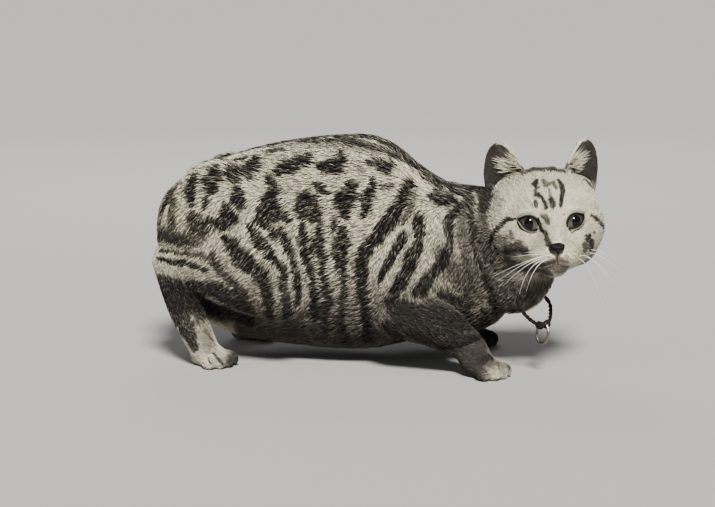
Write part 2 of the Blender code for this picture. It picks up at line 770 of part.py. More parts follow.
def wire(name, points, radius):
    """A closed loop of round wire through points."""
    curve = bpy.data.curves.new(name, "CURVE")
    curve.dimensions = "3D"
    curve.bevel_depth = radius
    curve.bevel_resolution = 2
    spline = curve.splines.new("POLY")
    spline.points.add(len(points) - 1)
    for knot, point in zip(spline.points, points):
        knot.co = (*point, 1.0)
    spline.use_cyclic_u = True
    guide = bpy.data.objects.new(name, curve)
    bpy.context.scene.collection.objects.link(guide)
    graph = bpy.context.evaluated_depsgraph_get()
    graph.update()
    mesh = bpy.data.meshes.new_from_object(guide.evaluated_get(graph))
    bpy.data.objects.remove(guide)
    bm = bmesh.new()
    bm.from_mesh(mesh)
    bpy.data.meshes.remove(mesh)
    return mesh_object(name, bm)


def collar_route(flesh):
    """The cord's middle line: a loop round the neck in one plane, that hangs clear of the throat."""
    bm = bmesh.new()
    for obj in flesh:
        bm.from_mesh(obj.data)
    surface = BVHTree.FromBMesh(bm)
    bm.free()
    centre, lowest = Vector(COLLAR_CENTRE), Vector(COLLAR_LOWEST)
    down = (lowest - centre).normalized()
    across = Vector(COLLAR_AXIS).cross(down).normalized()
    turns = [2 * math.pi * k / COLLAR_POINTS for k in range(COLLAR_POINTS)]
    rays = [down * math.cos(a) + across * math.sin(a) for a in turns]
    hits = [surface.ray_cast(centre + ray * REACH / 2, -ray)[0] for ray in rays]
    reaches = [(hit - centre).length + COLLAR_SEAT for hit in hits]
    for _ in range(COLLAR_EASING):
        around = zip([reaches[-1], *reaches], reaches, [*reaches[1:], reaches[0]])
        reaches = [max(here, (before + after) / 2) for before, here, after in around]
    slack = (lowest - centre).length - reaches[0]
    hangs = [slack * max(0.0, math.cos(a)) ** COLLAR_SLACK_POWER for a in turns]
    return [centre + ray * (reach + hang) for ray, reach, hang in zip(rays, reaches, hangs)]


def make_collar(flesh):
    """The cord in a groove of the coat, and the ring that hangs on it."""
    route = collar_route(flesh)
    collar = wire("collar", route, COLLAR_CORD_RADIUS)
    for obj in flesh:
        take(obj, wire("cutter", route, COLLAR_CORD_RADIUS + GAP), "DIFFERENCE")
    along = (route[1] - route[-1]).normalized()
    up = (Vector((0, 0, 1)) - along * along.z).normalized()
    across = along.cross(up)
    wide, high = (size / 2 - RING_WIRE_RADIUS for size in RING_SIZE)
    hang = high - RING_WIRE_RADIUS - GAP - COLLAR_CORD_RADIUS
    turns = [2 * math.pi * k / RING_POINTS for k in range(RING_POINTS)]
    loop = [route[0] + across * wide * math.cos(a) + up * (high * math.sin(a) - hang) for a in turns]
    return [collar, wire("collar_ring", loop, RING_WIRE_RADIUS)]


def paint(nodes):
    """Each node's material, by what the node's name starts with."""
    coat = material("coat", (0.46, 0.42, 0.35), 0.85)
    pale = material("pale_coat", (0.66, 0.62, 0.53), 0.85)
    shaded = material("legs_coat", (0.36, 0.33, 0.28), 0.85)
    made = {
        "head": pale,
        "fore_paw": pale,
        "hind_paw": pale,
        "neck": shaded,
        "forearm": shaded,
        "shank": shaded,
        "nose": material("nose_leather", (0.075, 0.055, 0.055), 0.45),
        "eye": material("eye", (0.25, 0.27, 0.19), 0.08),
        "ear": material("ear_coat", (0.30, 0.26, 0.22), 0.85),
        "collar": material("collar_cord", (0.035, 0.030, 0.030), 0.60),
        "collar_ring": material("ring_metal", (0.55, 0.50, 0.42), 0.30, 1.0),
    }
    for obj in nodes:
        keys = [key for key in made if obj.name.startswith(key)]
        obj.data.materials.clear()
        obj.data.materials.append(made[max(keys, key=len)] if keys else coat)


def set_down(nodes):
    """Moves the cat so that the origin is on the floor under the middle of its box."""
    corners = [vertex.co for obj in nodes for vertex in obj.data.vertices]
    middle = [(min(c[axis] for c in corners) + max(c[axis] for c in corners)) / 2 for axis in (0, 1)]
    for obj in nodes:
        obj.data.transform(Matrix.Translation((-middle[0], -middle[1], 0)))


def main():
    clear_scene()
    cat = collection("manx_cat")
    feet = [piece for limb in ("fore", "hind") for side in (-1, 1) for piece in make_foot(limb, side)]
    head = make_head()
    body = part_body(make_body(), feet)
    worn = make_collar([obj for obj in (*head, *body) if obj.name in COLLARED])
    nodes = [*head, *body, *feet, *worn]
    set_down(nodes)
    paint(nodes)
    for obj in nodes:
        for owner in list(obj.users_collection):
            owner.objects.unlink(obj)
        cat.objects.link(obj)


main()
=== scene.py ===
"""A spotted Manx cat with a short dense coat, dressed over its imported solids.

Metres, +X towards the head, +Y to the cat's left, +Z up. Markings are strokes whose places are given as
pixels of the 715 by 507 photo. They are cast from the camera onto the skin, and carried over to the side that
the photo doesn't show.
"""

import math

import bmesh
import bpy
import numpy as np
from mathutils import Matrix, Vector
from mathutils.bvhtree import BVHTree


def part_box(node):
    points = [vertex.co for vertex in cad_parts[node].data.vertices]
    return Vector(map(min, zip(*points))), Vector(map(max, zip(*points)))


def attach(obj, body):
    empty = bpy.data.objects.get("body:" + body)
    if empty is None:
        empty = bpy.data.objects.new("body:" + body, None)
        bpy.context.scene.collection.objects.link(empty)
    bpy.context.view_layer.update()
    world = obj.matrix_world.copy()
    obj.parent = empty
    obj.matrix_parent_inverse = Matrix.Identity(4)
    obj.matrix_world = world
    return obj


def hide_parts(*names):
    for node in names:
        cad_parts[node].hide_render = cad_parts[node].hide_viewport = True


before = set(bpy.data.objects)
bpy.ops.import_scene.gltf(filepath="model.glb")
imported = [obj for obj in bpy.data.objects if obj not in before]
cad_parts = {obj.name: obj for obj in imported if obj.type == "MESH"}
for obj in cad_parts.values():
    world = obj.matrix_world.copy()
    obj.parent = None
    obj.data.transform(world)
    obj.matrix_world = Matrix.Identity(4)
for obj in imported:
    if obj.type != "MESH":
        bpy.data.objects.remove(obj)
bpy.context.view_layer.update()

RANDOM = np.random.default_rng(7)

# The photo's view.
PHOTO_WIDTH, PHOTO_HEIGHT = 715, 507
PIXEL_SIZE = 0.00088
CAMERA_AZIMUTH_DEG = 10.0
CAMERA_ELEVATION_DEG = 9.0
CAMERA_DISTANCE = 1.8
CAMERA_NEAR = 0.05
SENSOR_WIDTH_MM = 36.0
AIM_FROM_RIGHT_EYE = (-0.1560, 0.0512, -0.0382)

# The head's turn, as in the solids.
HEAD_TURN_DEG, HEAD_NOD_DEG, HEAD_ROLL_DEG = -76.0, 1.0, 2.0

# The skin.
SWELL = 0.0004
SKIN_VOXEL = 0.0011
SKIN_TRIANGLES = 180000
SKIN_SMOOTHING = 10
FIELD_SMOOTHING = 24
SAME_PLACE, TINY, TINY_AREA = 1e-6, 1e-12, 1e-18
# A ripple: how many waves it adds up, how much wider they are than its size, and what brings it to about 1.
RIPPLE_WAVES, RIPPLE_WIDTH, RIPPLE_HEIGHT = 9, 1.7, 3.5
# How much of the smoothing small forms are spared, in the fused skin and in the skin under the coat.
FUSED_CALM, SHRUNK_CALM = 0.75, 0.80
SHRUNK_SHARE, SHRUNK_SMOOTHING = 0.4, 3

# The coat on each node: how deep the skin lies, how long and wide a tuft is, and how far its tip stands up.
COAT = {
    "torso": (0.0030, 0.0098, 0.00086, 0.0030),
    "rump": (0.0030, 0.0098, 0.00086, 0.0031),
    "thigh": (0.0028, 0.0090, 0.00082, 0.0028),
    "upper_arm": (0.0026, 0.0086, 0.00080, 0.0026),
    "neck": (0.0032, 0.0104, 0.00084, 0.0034),
    "shank": (0.0024, 0.0072, 0.00072, 0.0023),
    "hind_foot": (0.0014, 0.0050, 0.00056, 0.0013),
    "forearm": (0.0016, 0.0054, 0.00058, 0.0015),
    "hind_paw": (0.0009, 0.0036, 0.00046, 0.0008),
    "fore_paw": (0.0009, 0.0036, 0.00046, 0.0008),
    "head": (0.0018, 0.0066, 0.00062, 0.0018),
    "ear": (0.0003, 0.0030, 0.00040, 0.0003),
}
# The middle of the face, where the coat is shortest.
FACE_COAT = (0.0008, 0.0036, 0.00042, 0.0007)
# Which way the coat lies on each node.
LIE = {
    "torso": (-1.0, 0.0, -0.35),
    "rump": (-0.5, 0.0, -0.9),
    "thigh": (-0.55, 0.0, -0.85),
    "upper_arm": (-0.25, 0.0, -1.0),
    "neck": (-0.70, 0.0, -0.75),
    "shank": (-0.75, 0.0, -0.55),
    "hind_foot": (0.40, 0.0, -0.92),
    "forearm": (0.85, 0.0, -0.50),
    "hind_paw": (0.80, -0.35, -0.50),
    "fore_paw": (0.80, -0.40, -0.45),
}
TUFTS = 150000
TUFTS_A_PIECE = 21500
# The size of a tuft's patch on the unwrap.
PATCH = 0.003

PALE = (0.88, 0.81, 0.63)
GREY = (0.140, 0.120, 0.106)
DARK = (0.008, 0.0063, 0.006)

# Places in the head's frame, and ramps along its axes, from outside to inside.
NOSE_TIP = (0.046, 0.0, -0.014)
MUZZLE = (0.026, 0.0, -0.026)
HEAD_BACK, HEAD_FOOT, HEAD_SIDE = (-0.075, -0.062), (-0.060, -0.048), (0.075, 0.062)
FACE_BACK, FACE_FOOT, FACE_SIDE = (-0.026, 0.000), (-0.052, -0.040), (0.047, 0.031)
# Where small forms begin: by the distance from an eye and from the muzzle, by height in the head's frame,
# and for the paws by height above the floor and distance from the middle plane.
EYE_DETAIL, MUZZLE_DETAIL, EAR_DETAIL = (0.019, 0.015), (0.020, 0.014), (0.030, 0.036)
PAW_DETAIL_HEIGHT, PAW_DETAIL_OUT, PAW_DETAIL = (0.030, 0.020), (0.030, 0.040), 0.7
# Where the skin faces up by this much, its coat lies level.
FACING_UP = (0.2, 0.7)
EAR_LIE = (-0.1, 0.0, 1.0)


def placed_nodes(*prefixes):
    """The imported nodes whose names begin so."""
    return [obj for name, obj in sorted(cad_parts.items()) if name.startswith(prefixes)]


def middle_of(node):
    low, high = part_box(node)
    return (low + high) / 2


RIGHT_EYE, LEFT_EYE = middle_of("eye_right"), middle_of("eye_left")
EYES = {-1: RIGHT_EYE, 1: LEFT_EYE}


def head_frame():
    turn = Matrix.Rotation(math.radians(HEAD_TURN_DEG), 4, "Z")
    nod = Matrix.Rotation(math.radians(HEAD_NOD_DEG), 4, "Y")
    roll = Matrix.Rotation(math.radians(HEAD_ROLL_DEG), 4, "X")
    return Matrix.Translation((RIGHT_EYE + LEFT_EYE) / 2) @ turn @ nod @ roll


HEAD = head_frame()
HEAD_TO_LOCAL = np.array(HEAD.inverted())


def in_head(points):
    """points in the head's frame: +X out of the nose, +Y to the cat's left, centred between the eyes."""
    return points @ HEAD_TO_LOCAL[:3, :3].T + HEAD_TO_LOCAL[:3, 3]


def placed(name, data):
    """A new object in the scene."""
    obj = bpy.data.objects.new(name, data)
    bpy.context.scene.collection.objects.link(obj)
    return obj


def make_camera():
    azimuth, elevation = math.radians(CAMERA_AZIMUTH_DEG), math.radians(CAMERA_ELEVATION_DEG)
    level = math.cos(elevation)
    back = Vector((math.sin(azimuth) * level, -math.cos(azimuth) * level, math.sin(elevation)))
    data = bpy.data.cameras.new("camera")
    data.sensor_width = SENSOR_WIDTH_MM
    data.lens = SENSOR_WIDTH_MM * CAMERA_DISTANCE / (PHOTO_WIDTH * PIXEL_SIZE)
    data.clip_start = CAMERA_NEAR
    camera = placed("camera", data)
    camera.location = RIGHT_EYE + Vector(AIM_FROM_RIGHT_EYE) + back * CAMERA_DISTANCE
    camera.rotation_euler = back.to_track_quat("Z", "Y").to_euler()
    bpy.context.scene.camera = camera
    bpy.context.view_layer.update()
    return camera


CAMERA = make_camera()


def pixel_way(pixel):
    """The way of the camera's ray through a pixel of the photo."""
    across = (pixel[0] - PHOTO_WIDTH / 2) * PIXEL_SIZE / CAMERA_DISTANCE
    up = (PHOTO_HEIGHT / 2 - pixel[1]) * PIXEL_SIZE / CAMERA_DISTANCE
    return (CAMERA.matrix_world.to_3x3() @ Vector((across, up, -1.0))).normalized()


def cast(surface, pixel):
    """Where the camera's ray through a pixel of the photo meets a surface, or None."""
    return surface.ray_cast(CAMERA.matrix_world.translation, pixel_way(pixel))[0]


def mesh_from(name, points, triangles):
    mesh = bpy.data.meshes.new(name)
    mesh.vertices.add(len(points))
    mesh.vertices.foreach_set("co", np.ascontiguousarray(points, np.float32).ravel())
    mesh.loops.add(triangles.size)
    mesh.loops.foreach_set("vertex_index", np.ascontiguousarray(triangles, np.int32).ravel())
    mesh.polygons.add(len(triangles))
    mesh.polygons.foreach_set("loop_start", np.arange(0, triangles.size, 3, dtype=np.int32))
    mesh.update(calc_edges=True)
    mesh.shade_smooth()
    return placed(name, mesh)


def rows(vectors):
    """Vectors as the rows of an array."""
    return np.array([tuple(vector) for vector in vectors])


def arrays_of(mesh):
    """A mesh's points and triangles."""
    points = np.empty(len(mesh.vertices) * 3, np.float32)
    mesh.vertices.foreach_get("co", points)
    mesh.calc_loop_triangles()
    triangles = np.empty(len(mesh.loop_triangles) * 3, np.int32)
    mesh.loop_triangles.foreach_get("vertices", triangles)
    return points.reshape(-1, 3).astype(float), triangles.reshape(-1, 3)


def unit(vectors):
    return vectors / np.maximum(np.linalg.norm(vectors, axis=1, keepdims=True), TINY)


def normals_of(points, triangles):
    a, b, c = (points[triangles[:, k]] for k in range(3))
    facing = np.cross(b - a, c - a)
    total = np.zeros_like(points)
    for k in range(3):
        for axis in range(3):
            total[:, axis] += np.bincount(triangles[:, k], facing[:, axis], len(points))
    return unit(total)


def edges_of(triangles):
    pairs = np.vstack([triangles[:, (0, 1)], triangles[:, (1, 2)], triangles[:, (2, 0)]])
    return np.unique(np.sort(pairs, axis=1), axis=0)


def eased(values, edges, rounds, share=0.5):
    """Each row drawn towards the mean of its neighbours' rows, by share, which may be one number a row."""
    count = np.bincount(edges.ravel(), minlength=len(values))[:, None]
    share = np.broadcast_to(np.reshape(share, (-1, 1)), (len(values), 1))
    values = values.copy()
    for _ in range(rounds):
        total = np.empty_like(values)
        for k in range(values.shape[1]):
            total[:, k] = np.bincount(edges[:, 0], values[edges[:, 1], k], len(values))
            total[:, k] += np.bincount(edges[:, 1], values[edges[:, 0], k], len(values))
        values += share * (total / np.maximum(count, 1) - values)
    return values


def ramp(low, high, values):
    """0 at low and 1 at high, eased at both ends."""
    t = np.clip((values - low) / (high - low), 0.0, 1.0)
    return t * t * (3 - 2 * t)


def ripple(points, size, seed):
    """A smooth random field between about -1 and 1 whose waves are size across."""
    draw = np.random.default_rng(seed)
    waves = draw.normal(size=(RIPPLE_WAVES, 3)) * (2 * math.pi / size / RIPPLE_WIDTH)
    phases = draw.uniform(0, 2 * math.pi, RIPPLE_WAVES)
    return np.sin(points @ waves.T + phases).sum(axis=1) / RIPPLE_HEIGHT


def search_tree(points, triangles):
    corners = [Vector(point) for point in points]
    return BVHTree.FromPolygons(corners, triangles.tolist(), all_triangles=True)


def nearest(tree, points):
    """The place of a surface nearest to each point, the surface's normal there, and the triangle's number."""
    found = [tree.find_nearest(Vector(point)) for point in points]
    return [np.array([hit[k] for hit in found]) for k in range(3)]


def applied(obj):
    """An object's mesh with its modifiers applied. The object itself goes."""
    graph = bpy.context.evaluated_depsgraph_get()
    mesh = bpy.data.meshes.new_from_object(obj.evaluated_get(graph))
    bpy.data.objects.remove(obj)
    return mesh


def fused(obj, voxel_size):
    """An object's mesh rebuilt by voxels as one closed surface."""
    fuse = obj.modifiers.new("fuse", "REMESH")
    fuse.mode = "VOXEL"
    fuse.voxel_size = voxel_size
    return applied(obj)


def from_eyes(points):
    """How far each point is from the middle of the nearer eye."""
    return np.minimum(*(np.linalg.norm(points - np.array(eye), axis=1) for eye in (RIGHT_EYE, LEFT_EYE)))


FLESH_NODES = placed_nodes(*COAT)


def raw_skin():
    """The flesh nodes as one closed surface: swollen to close their cuts, and fused by voxels."""
    bm = bmesh.new()
    for obj in FLESH_NODES:
        bm.from_mesh(obj.data)
    bmesh.ops.remove_doubles(bm, verts=bm.verts, dist=SAME_PLACE)
    bm.normal_update()
    for vertex in bm.verts:
        vertex.co += vertex.normal * SWELL
    mesh = bpy.data.meshes.new("raw")
    bm.to_mesh(mesh)
    bm.free()
    return fused(placed("raw", mesh), SKIN_VOXEL)


def node_tree():
    """A search tree over the flesh nodes, with each face's node name."""
    corners, faces, owners = [], [], []
    for obj in FLESH_NODES:
        points, triangles = arrays_of(obj.data)
        first = len(corners)
        corners += [Vector(point) for point in points]
        faces += [tuple(int(i) + first for i in triangle) for triangle in triangles]
        owners += [obj.name] * len(triangles)
    return BVHTree.FromPolygons(corners, faces, all_triangles=True), owners


def coat_prefix(name):
    return max((key for key in COAT if name.startswith(key)), key=len)


def fused_skin():
    """The flesh smoothed of its facets, and thinned everywhere but on the head."""
    mesh = raw_skin()
    points, triangles = arrays_of(mesh)
    calm = 0.5 * (1 - FUSED_CALM * detail_of(points))
    points = eased(points, edges_of(triangles), SKIN_SMOOTHING, calm)
    obj = mesh_from("skin", points, triangles)
    bpy.data.meshes.remove(mesh)
    group = obj.vertex_groups.new(name="thin")
    group.add([int(i) for i in np.flatnonzero(head_share(points) <= 0.5)], 1.0, "REPLACE")
    thin = obj.modifiers.new("thin", "DECIMATE")
    thin.ratio = min(1.0, SKIN_TRIANGLES / len(triangles))
    thin.vertex_group = group.name
    thin.vertex_group_factor = 1.0
    return arrays_of(applied(obj))


def head_share(points):
    """1 on the head and its ears, 0 behind them."""
    local = in_head(points)
    middle = ramp(*HEAD_SIDE, abs(local[:, 1]))
    return ramp(*HEAD_BACK, local[:, 0]) * ramp(*HEAD_FOOT, local[:, 2]) * middle


def face_share(points):
    """1 on the front of the face and down to 0 on the cheeks and the crown."""
    local = in_head(points)
    middle = ramp(*FACE_SIDE, abs(local[:, 1]))
    return ramp(*FACE_BACK, local[:, 0]) * middle * ramp(*FACE_FOOT, local[:, 2])


def detail_of(points):
    """1 where the surface has small forms: round the eyes and mouth, on the ears and on the paws."""
    local = in_head(points)
    eyes = ramp(*EYE_DETAIL, from_eyes(points))
    muzzle = ramp(*MUZZLE_DETAIL, np.linalg.norm(local - np.array(MUZZLE), axis=1))
    ears = ramp(*EAR_DETAIL, local[:, 2]) * head_share(points)
    paws = ramp(*PAW_DETAIL_HEIGHT, points[:, 2]) * ramp(*PAW_DETAIL_OUT, abs(points[:, 1]))
    return np.maximum.reduce([eyes, muzzle, ears, PAW_DETAIL * paws])


def coat_fields(points, triangles):
    """For each point of the skin: the coat's depth, length, width and lift, its lie, and 1 on the ears."""
    tree, owners = node_tree()
    keys = sorted(COAT)
    owner_key = np.array([keys.index(coat_prefix(name)) for name in owners])
    key = owner_key[nearest(tree, points)[2]]
    coat = np.array([COAT[name] for name in keys])[key]
    face = face_share(points)[:, None]
    on_head = (key == keys.index("head"))[:, None]
    on_ear = (key == keys.index("ear"))[:, None]
    coat = np.where(on_head, coat + face * (np.array(FACE_COAT) - coat), coat)
    lie = np.array([LIE.get(name, (0.0, 0.0, 1.0)) for name in keys])[key]
    lie[:, 2] *= 1 - ramp(*FACING_UP, normals_of(points, triangles)[:, 2])
    lie = np.where(on_head, from_nose(points), lie)
    lie = np.where(on_ear, np.array(HEAD.to_3x3() @ Vector(EAR_LIE)), lie)
    fields = eased(np.hstack([coat, lie]), edges_of(triangles), FIELD_SMOOTHING)
    return fields[:, :4], unit(fields[:, 4:]), on_ear[:, 0].astype(float)


def from_nose(points):
    """The way from the tip of the nose to each point."""
    return unit(points - np.array(HEAD @ Vector(NOSE_TIP)))


# Marks: (how dark, places). A place is a pixel of the photo and the mark's width there in pixels. Where a
# ray misses the skin, the place is passed over.
BODY_MARKS = [
    (1.0, [(214, 170, 9), (212, 178, 15), (210, 185, 13), (215, 191, 7)]),
    (1.0, [(233, 168, 9), (233, 175, 13), (236, 182, 8)]),
    (1.0, [(258, 160, 8), (254, 167, 13), (247, 172, 13), (249, 179, 8)]),
    (1.0, [(280, 172, 10), (288, 168, 14), (297, 165, 14), (306, 160, 10), (309, 155, 4)]),
    (1.0, [(320, 167, 6), (329, 168, 12), (337, 166, 14), (343, 162, 8), (342, 154, 4)]),
    (1.0, [(368, 163, 5), (378, 165, 9), (386, 168, 12), (392, 166, 7)]),
    (0.7, [(357, 167, 4), (362, 173, 4)]),
    (1.0, [(195, 177, 6), (192, 187, 9), (191, 196, 8), (193, 205, 5)]),
    (1.0, [(206, 199, 5), (204, 207, 6)]),
    (1.0, [(238, 192, 9), (237, 199, 12), (243, 207, 6)]),
    (1.0, [(226, 206, 6), (228, 213, 9), (232, 220, 10)]),
    (1.0, [(209, 221, 6), (218, 224, 9), (228, 224, 8)]),
    (0.95, [(193, 216, 8), (197, 224, 14), (205, 230, 9)]),
    (1.0, [(269, 178, 6), (274, 185, 7), (279, 192, 5)]),
    (1.0, [(270, 194, 6), (269, 202, 13), (272, 210, 16), (280, 216, 9), (290, 220, 4)]),
    (1.0, [(261, 213, 8), (262, 221, 12), (266, 227, 6)]),
    (1.0, [(307, 195, 8), (309, 203, 17), (303, 210, 13), (314, 211, 16), (318, 218, 8)]),
    (1.0, [(316, 185, 5), (322, 190, 7), (327, 193, 4)]),
    (1.0, [(354, 184, 8), (350, 192, 13), (346, 201, 16), (346, 210, 10), (346, 217, 5)]),
    (1.0, [(373, 180, 4), (372, 190, 7), (367, 199, 11), (366, 208, 9), (364, 217, 4)]),
    (0.8, [(383, 188, 5), (390, 187, 5)]),
    (0.8, [(416, 190, 3), (414, 200, 5), (409, 213, 6), (402, 222, 4)]),
    (1.0, [(409, 184, 8), (405, 193, 10), (401, 203, 10), (395, 213, 11), (386, 225, 11), (377, 237, 11),
           (369, 246, 10)]),
    (1.0, [(369, 246, 10), (363, 256, 11), (361, 268, 11), (361, 282, 9), (363, 296, 8), (366, 310, 8),
           (369, 340, 8)]),
    (1.0, [(419, 219, 8), (420, 230, 9), (419, 240, 6)]),
    (1.0, [(405, 234, 6), (402, 240, 9), (396, 250, 8), (390, 260, 7), (384, 270, 6), (380, 280, 4)]),
    (1.0, [(418, 247, 9), (413, 256, 11), (410, 268, 10), (403, 279, 10), (397, 290, 9), (390, 300, 9)]),
    (1.0, [(343, 230, 6), (343, 240, 11), (341, 250, 12), (341, 262, 9), (343, 275, 6), (345, 290, 4)]),
    (0.9, [(345, 290, 4), (342, 303, 6), (341, 320, 6), (345, 335, 8), (350, 346, 8)]),
    (1.0, [(321, 222, 4), (320, 235, 7), (318, 245, 11), (322, 256, 8), (323, 270, 5), (326, 285, 6),
           (329, 300, 5)]),
    (0.9, [(329, 300, 5), (326, 315, 6), (327, 332, 6)]),
    (1.0, [(334, 219, 5), (334, 228, 6)]),
    (1.0, [(303, 224, 4), (304, 238, 9), (305, 250, 9), (308, 262, 7), (312, 275, 5), (314, 290, 6),
           (315, 318, 7)]),
    (1.0, [(281, 230, 5), (285, 240, 8), (289, 250, 7), (293, 262, 5), (296, 275, 6), (297, 290, 6),
           (297, 302, 5)]),
    (1.0, [(246, 224, 3), (253, 231, 7), (260, 241, 10), (265, 249, 9), (272, 258, 6), (281, 268, 6),
           (285, 278, 5)]),
    (1.0, [(226, 238, 6), (233, 245, 11), (239, 253, 12), (247, 263, 14), (255, 268, 11), (262, 277, 10)]),
    (1.0, [(262, 277, 10), (266, 288, 9), (269, 300, 8), (271, 316, 7)]),
    (0.9, [(282, 278, 5), (284, 288, 6), (286, 300, 6), (288, 318, 7)]),
    (1.0, [(268, 226, 6), (275, 236, 7)]),
    # The rump's back edge: a dark band with painted shade where the rump turns from the light.
    (0.85, [(178, 186, 6), (174, 196, 8), (174, 210, 8), (173, 226, 9)]),
    (0.8, [(163, 234, 10), (180, 238, 11), (196, 240, 9), (205, 237, 5)]),
    (0.9, [(213, 252, 4), (214, 262, 6), (222, 272, 6), (236, 285, 6), (246, 296, 6)]),
]
RIDGE_MARKS = [
    (0.8, [(183, 176, 4), (205, 163, 5), (232, 153, 6), (262, 146, 7), (290, 143, 8)]),
    (0.9, [(290, 143, 8), (318, 143, 11), (345, 142, 13), (370, 147, 12), (392, 155, 10), (412, 168, 12),
           (434, 178, 8)]),
    (0.9, [(434, 178, 8), (450, 184, 5), (466, 190, 6)]),
]
NECK_MARKS = [
    (1.0, [(438, 190, 8), (437, 199, 12), (445, 201, 13), (452, 196, 12), (461, 195, 7)]),
    (0.95, [(464, 204, 5), (456, 209, 6), (450, 218, 7), (448, 230, 7), (449, 243, 7), (446, 256, 8),
            (438, 268, 9)]),
    (0.95, [(438, 268, 9), (428, 279, 10), (420, 292, 11)]),
    (0.9, [(466, 188, 6), (469, 200, 9), (471, 218, 8), (472, 236, 6)]),
    (0.9, [(470, 240, 4), (475, 256, 5), (482, 272, 5), (489, 290, 5), (496, 306, 5)]),
    (0.8, [(463, 258, 4), (466, 268, 5), (470, 278, 4)]),
    (0.9, [(484, 186, 12), (485, 198, 13), (483, 210, 8)]),
    (0.8, [(481, 222, 10), (484, 240, 10), (488, 258, 10)]),
    (0.8, [(440, 296, 10), (452, 300, 10), (470, 303, 8)]),
    (0.7, [(498, 286, 5), (507, 298, 5), (515, 306, 5)]),
]
LEG_MARKS = [
    (1.0, [(158, 258, 4), (170, 262, 6), (184, 263, 7), (197, 266, 6), (207, 271, 5)]),
    (0.9, [(160, 251, 4), (180, 253, 4), (198, 254, 5), (210, 258, 5)]),
    # The broad dark of the lower thigh and the shank: the coat's dark with painted shade.
    (0.95, [(168, 284, 12), (184, 294, 26), (204, 302, 34), (226, 308, 32), (246, 316, 24)]),
    (0.95, [(196, 284, 10), (214, 290, 22), (232, 297, 20), (248, 308, 16)]),
    (0.95, [(166, 282, 14), (172, 300, 18), (181, 318, 22), (188, 334, 16), (194, 347, 10)]),
    (0.85, [(196, 306, 22), (200, 316, 14)]),
    (0.95, [(160, 277, 8), (163, 288, 12), (167, 302, 12)]),
    (0.6, [(205, 330, 4), (212, 340, 3)]),
    (0.9, [(213, 353, 3), (219, 360, 3), (225, 367, 2.5)]),
    (0.8, [(208, 358, 2), (212, 366, 2)]),
    # The broad dark of the elbow and the forearm: dark bars with painted shade.
    (0.9, [(390, 302, 14), (402, 314, 26), (424, 322, 38), (448, 322, 36), (466, 322, 22)]),
    (0.9, [(400, 322, 16), (420, 336, 20), (446, 341, 12), (468, 337, 8)]),
    (0.75, [(430, 304, 12), (448, 308, 12), (466, 312, 10)]),
    (1.0, [(436, 346, 5), (455, 347, 6), (470, 341, 6), (487, 335, 6)]),
    (0.9, [(390, 328, 18), (402, 341, 18), (416, 350, 14)]),
    (0.85, [(482, 312, 8), (488, 326, 10), (494, 338, 8)]),
    (0.85, [(476, 363, 3), (486, 358, 4), (499, 351, 5)]),
    (0.8, [(497, 362, 2), (499, 370, 2.2)]),
    (0.8, [(507, 361, 2), (509, 369, 2)]),
    (0.8, [(480, 366, 2), (487, 374, 2)]),
]
# Softer greys, partly the coat's own grey and partly painted shade: the belly, the rump's edge, the breast,
# the neck and the legs.
WASHES_AND_SHADE = [
    (0.85, [(222, 332, 26), (260, 338, 28), (300, 341, 24), (350, 344, 22), (395, 342, 24), (430, 346, 20)]),
    (0.72, [(258, 312, 30), (300, 318, 34), (340, 322, 34), (380, 318, 34)]),
    (0.50, [(252, 292, 22), (290, 290, 24), (334, 288, 26), (352, 296, 26), (384, 304, 20)]),
    (0.90, [(176, 290, 30), (200, 300, 42), (232, 310, 40), (252, 322, 26)]),
    (0.85, [(176, 184, 9), (168, 200, 12), (164, 218, 14), (162, 238, 14), (186, 242, 16)]),
    (0.60, [(205, 164, 7), (250, 150, 8), (300, 146, 10), (350, 147, 13), (396, 158, 12)]),
    (0.90, [(396, 312, 34), (424, 322, 46), (456, 322, 40)]),
    (0.85, [(462, 208, 14), (470, 230, 20), (478, 252, 24), (486, 278, 26), (492, 300, 28)]),
    (0.85, [(478, 312, 26), (488, 326, 26), (494, 342, 20)]),
    (0.70, [(414, 292, 20), (440, 292, 22), (470, 306, 22)]),
    (0.40, [(452, 216, 16), (458, 240, 20), (462, 262, 20)]),
    (0.95, [(462, 350, 26), (476, 354, 26), (488, 358, 20)]),
    (0.80, [(484, 362, 20), (498, 364, 20), (508, 367, 14)]),
    (0.60, [(202, 328, 22), (208, 344, 20)]),
    (0.85, [(459, 212, 14), (462, 232, 18), (467, 252, 18), (474, 272, 18)]),
    (0.90, [(440, 252, 16), (452, 270, 24), (466, 284, 26), (480, 296, 20)]),
    (0.70, [(166, 176, 14), (164, 200, 18), (160, 224, 20), (166, 246, 20)]),
    (0.60, [(176, 300, 16), (172, 320, 16)]),
    (0.55, [(184, 330, 10), (190, 345, 8)]),
    (0.30, [(204, 344, 16), (222, 358, 14)]),
]
# Soft greys of the head: the ruff, the cheeks and the crown, with painted shade at the throat, below the
# mouth and under the chin.
HEAD_WASHES_AND_SHADE = [
    (0.90, [(487, 186, 14), (487, 200, 14), (485, 214, 10)]),
    (0.75, [(492, 236, 10), (492, 252, 16), (498, 268, 20), (504, 280, 20)]),
    (0.75, [(499, 240, 12), (506, 240, 10), (504, 252, 16)]),
    (0.80, [(508, 256, 9), (517, 250, 12), (526, 252, 9)]),
    (0.50, [(486, 210, 10), (488, 228, 10)]),
    (0.85, [(508, 284, 22), (522, 292, 28), (540, 286, 26), (556, 282, 12)]),
    (0.80, [(520, 308, 18), (536, 300, 16), (544, 296, 12)]),
    (0.90, [(506, 266, 18), (522, 267, 16), (535, 269, 14), (547, 272, 12)]),
    (0.75, [(553, 267, 10), (560, 268, 10), (567, 267, 9)]),
    (0.80, [(556, 272, 5), (565, 271, 4), (573, 268, 4), (579, 265, 3)]),
    (0.95, [(528, 265, 7), (538, 266, 9), (547, 264, 7), (554, 262, 4)]),
    (0.75, [(524, 171, 7), (544, 169, 9), (564, 171, 7)]),
]
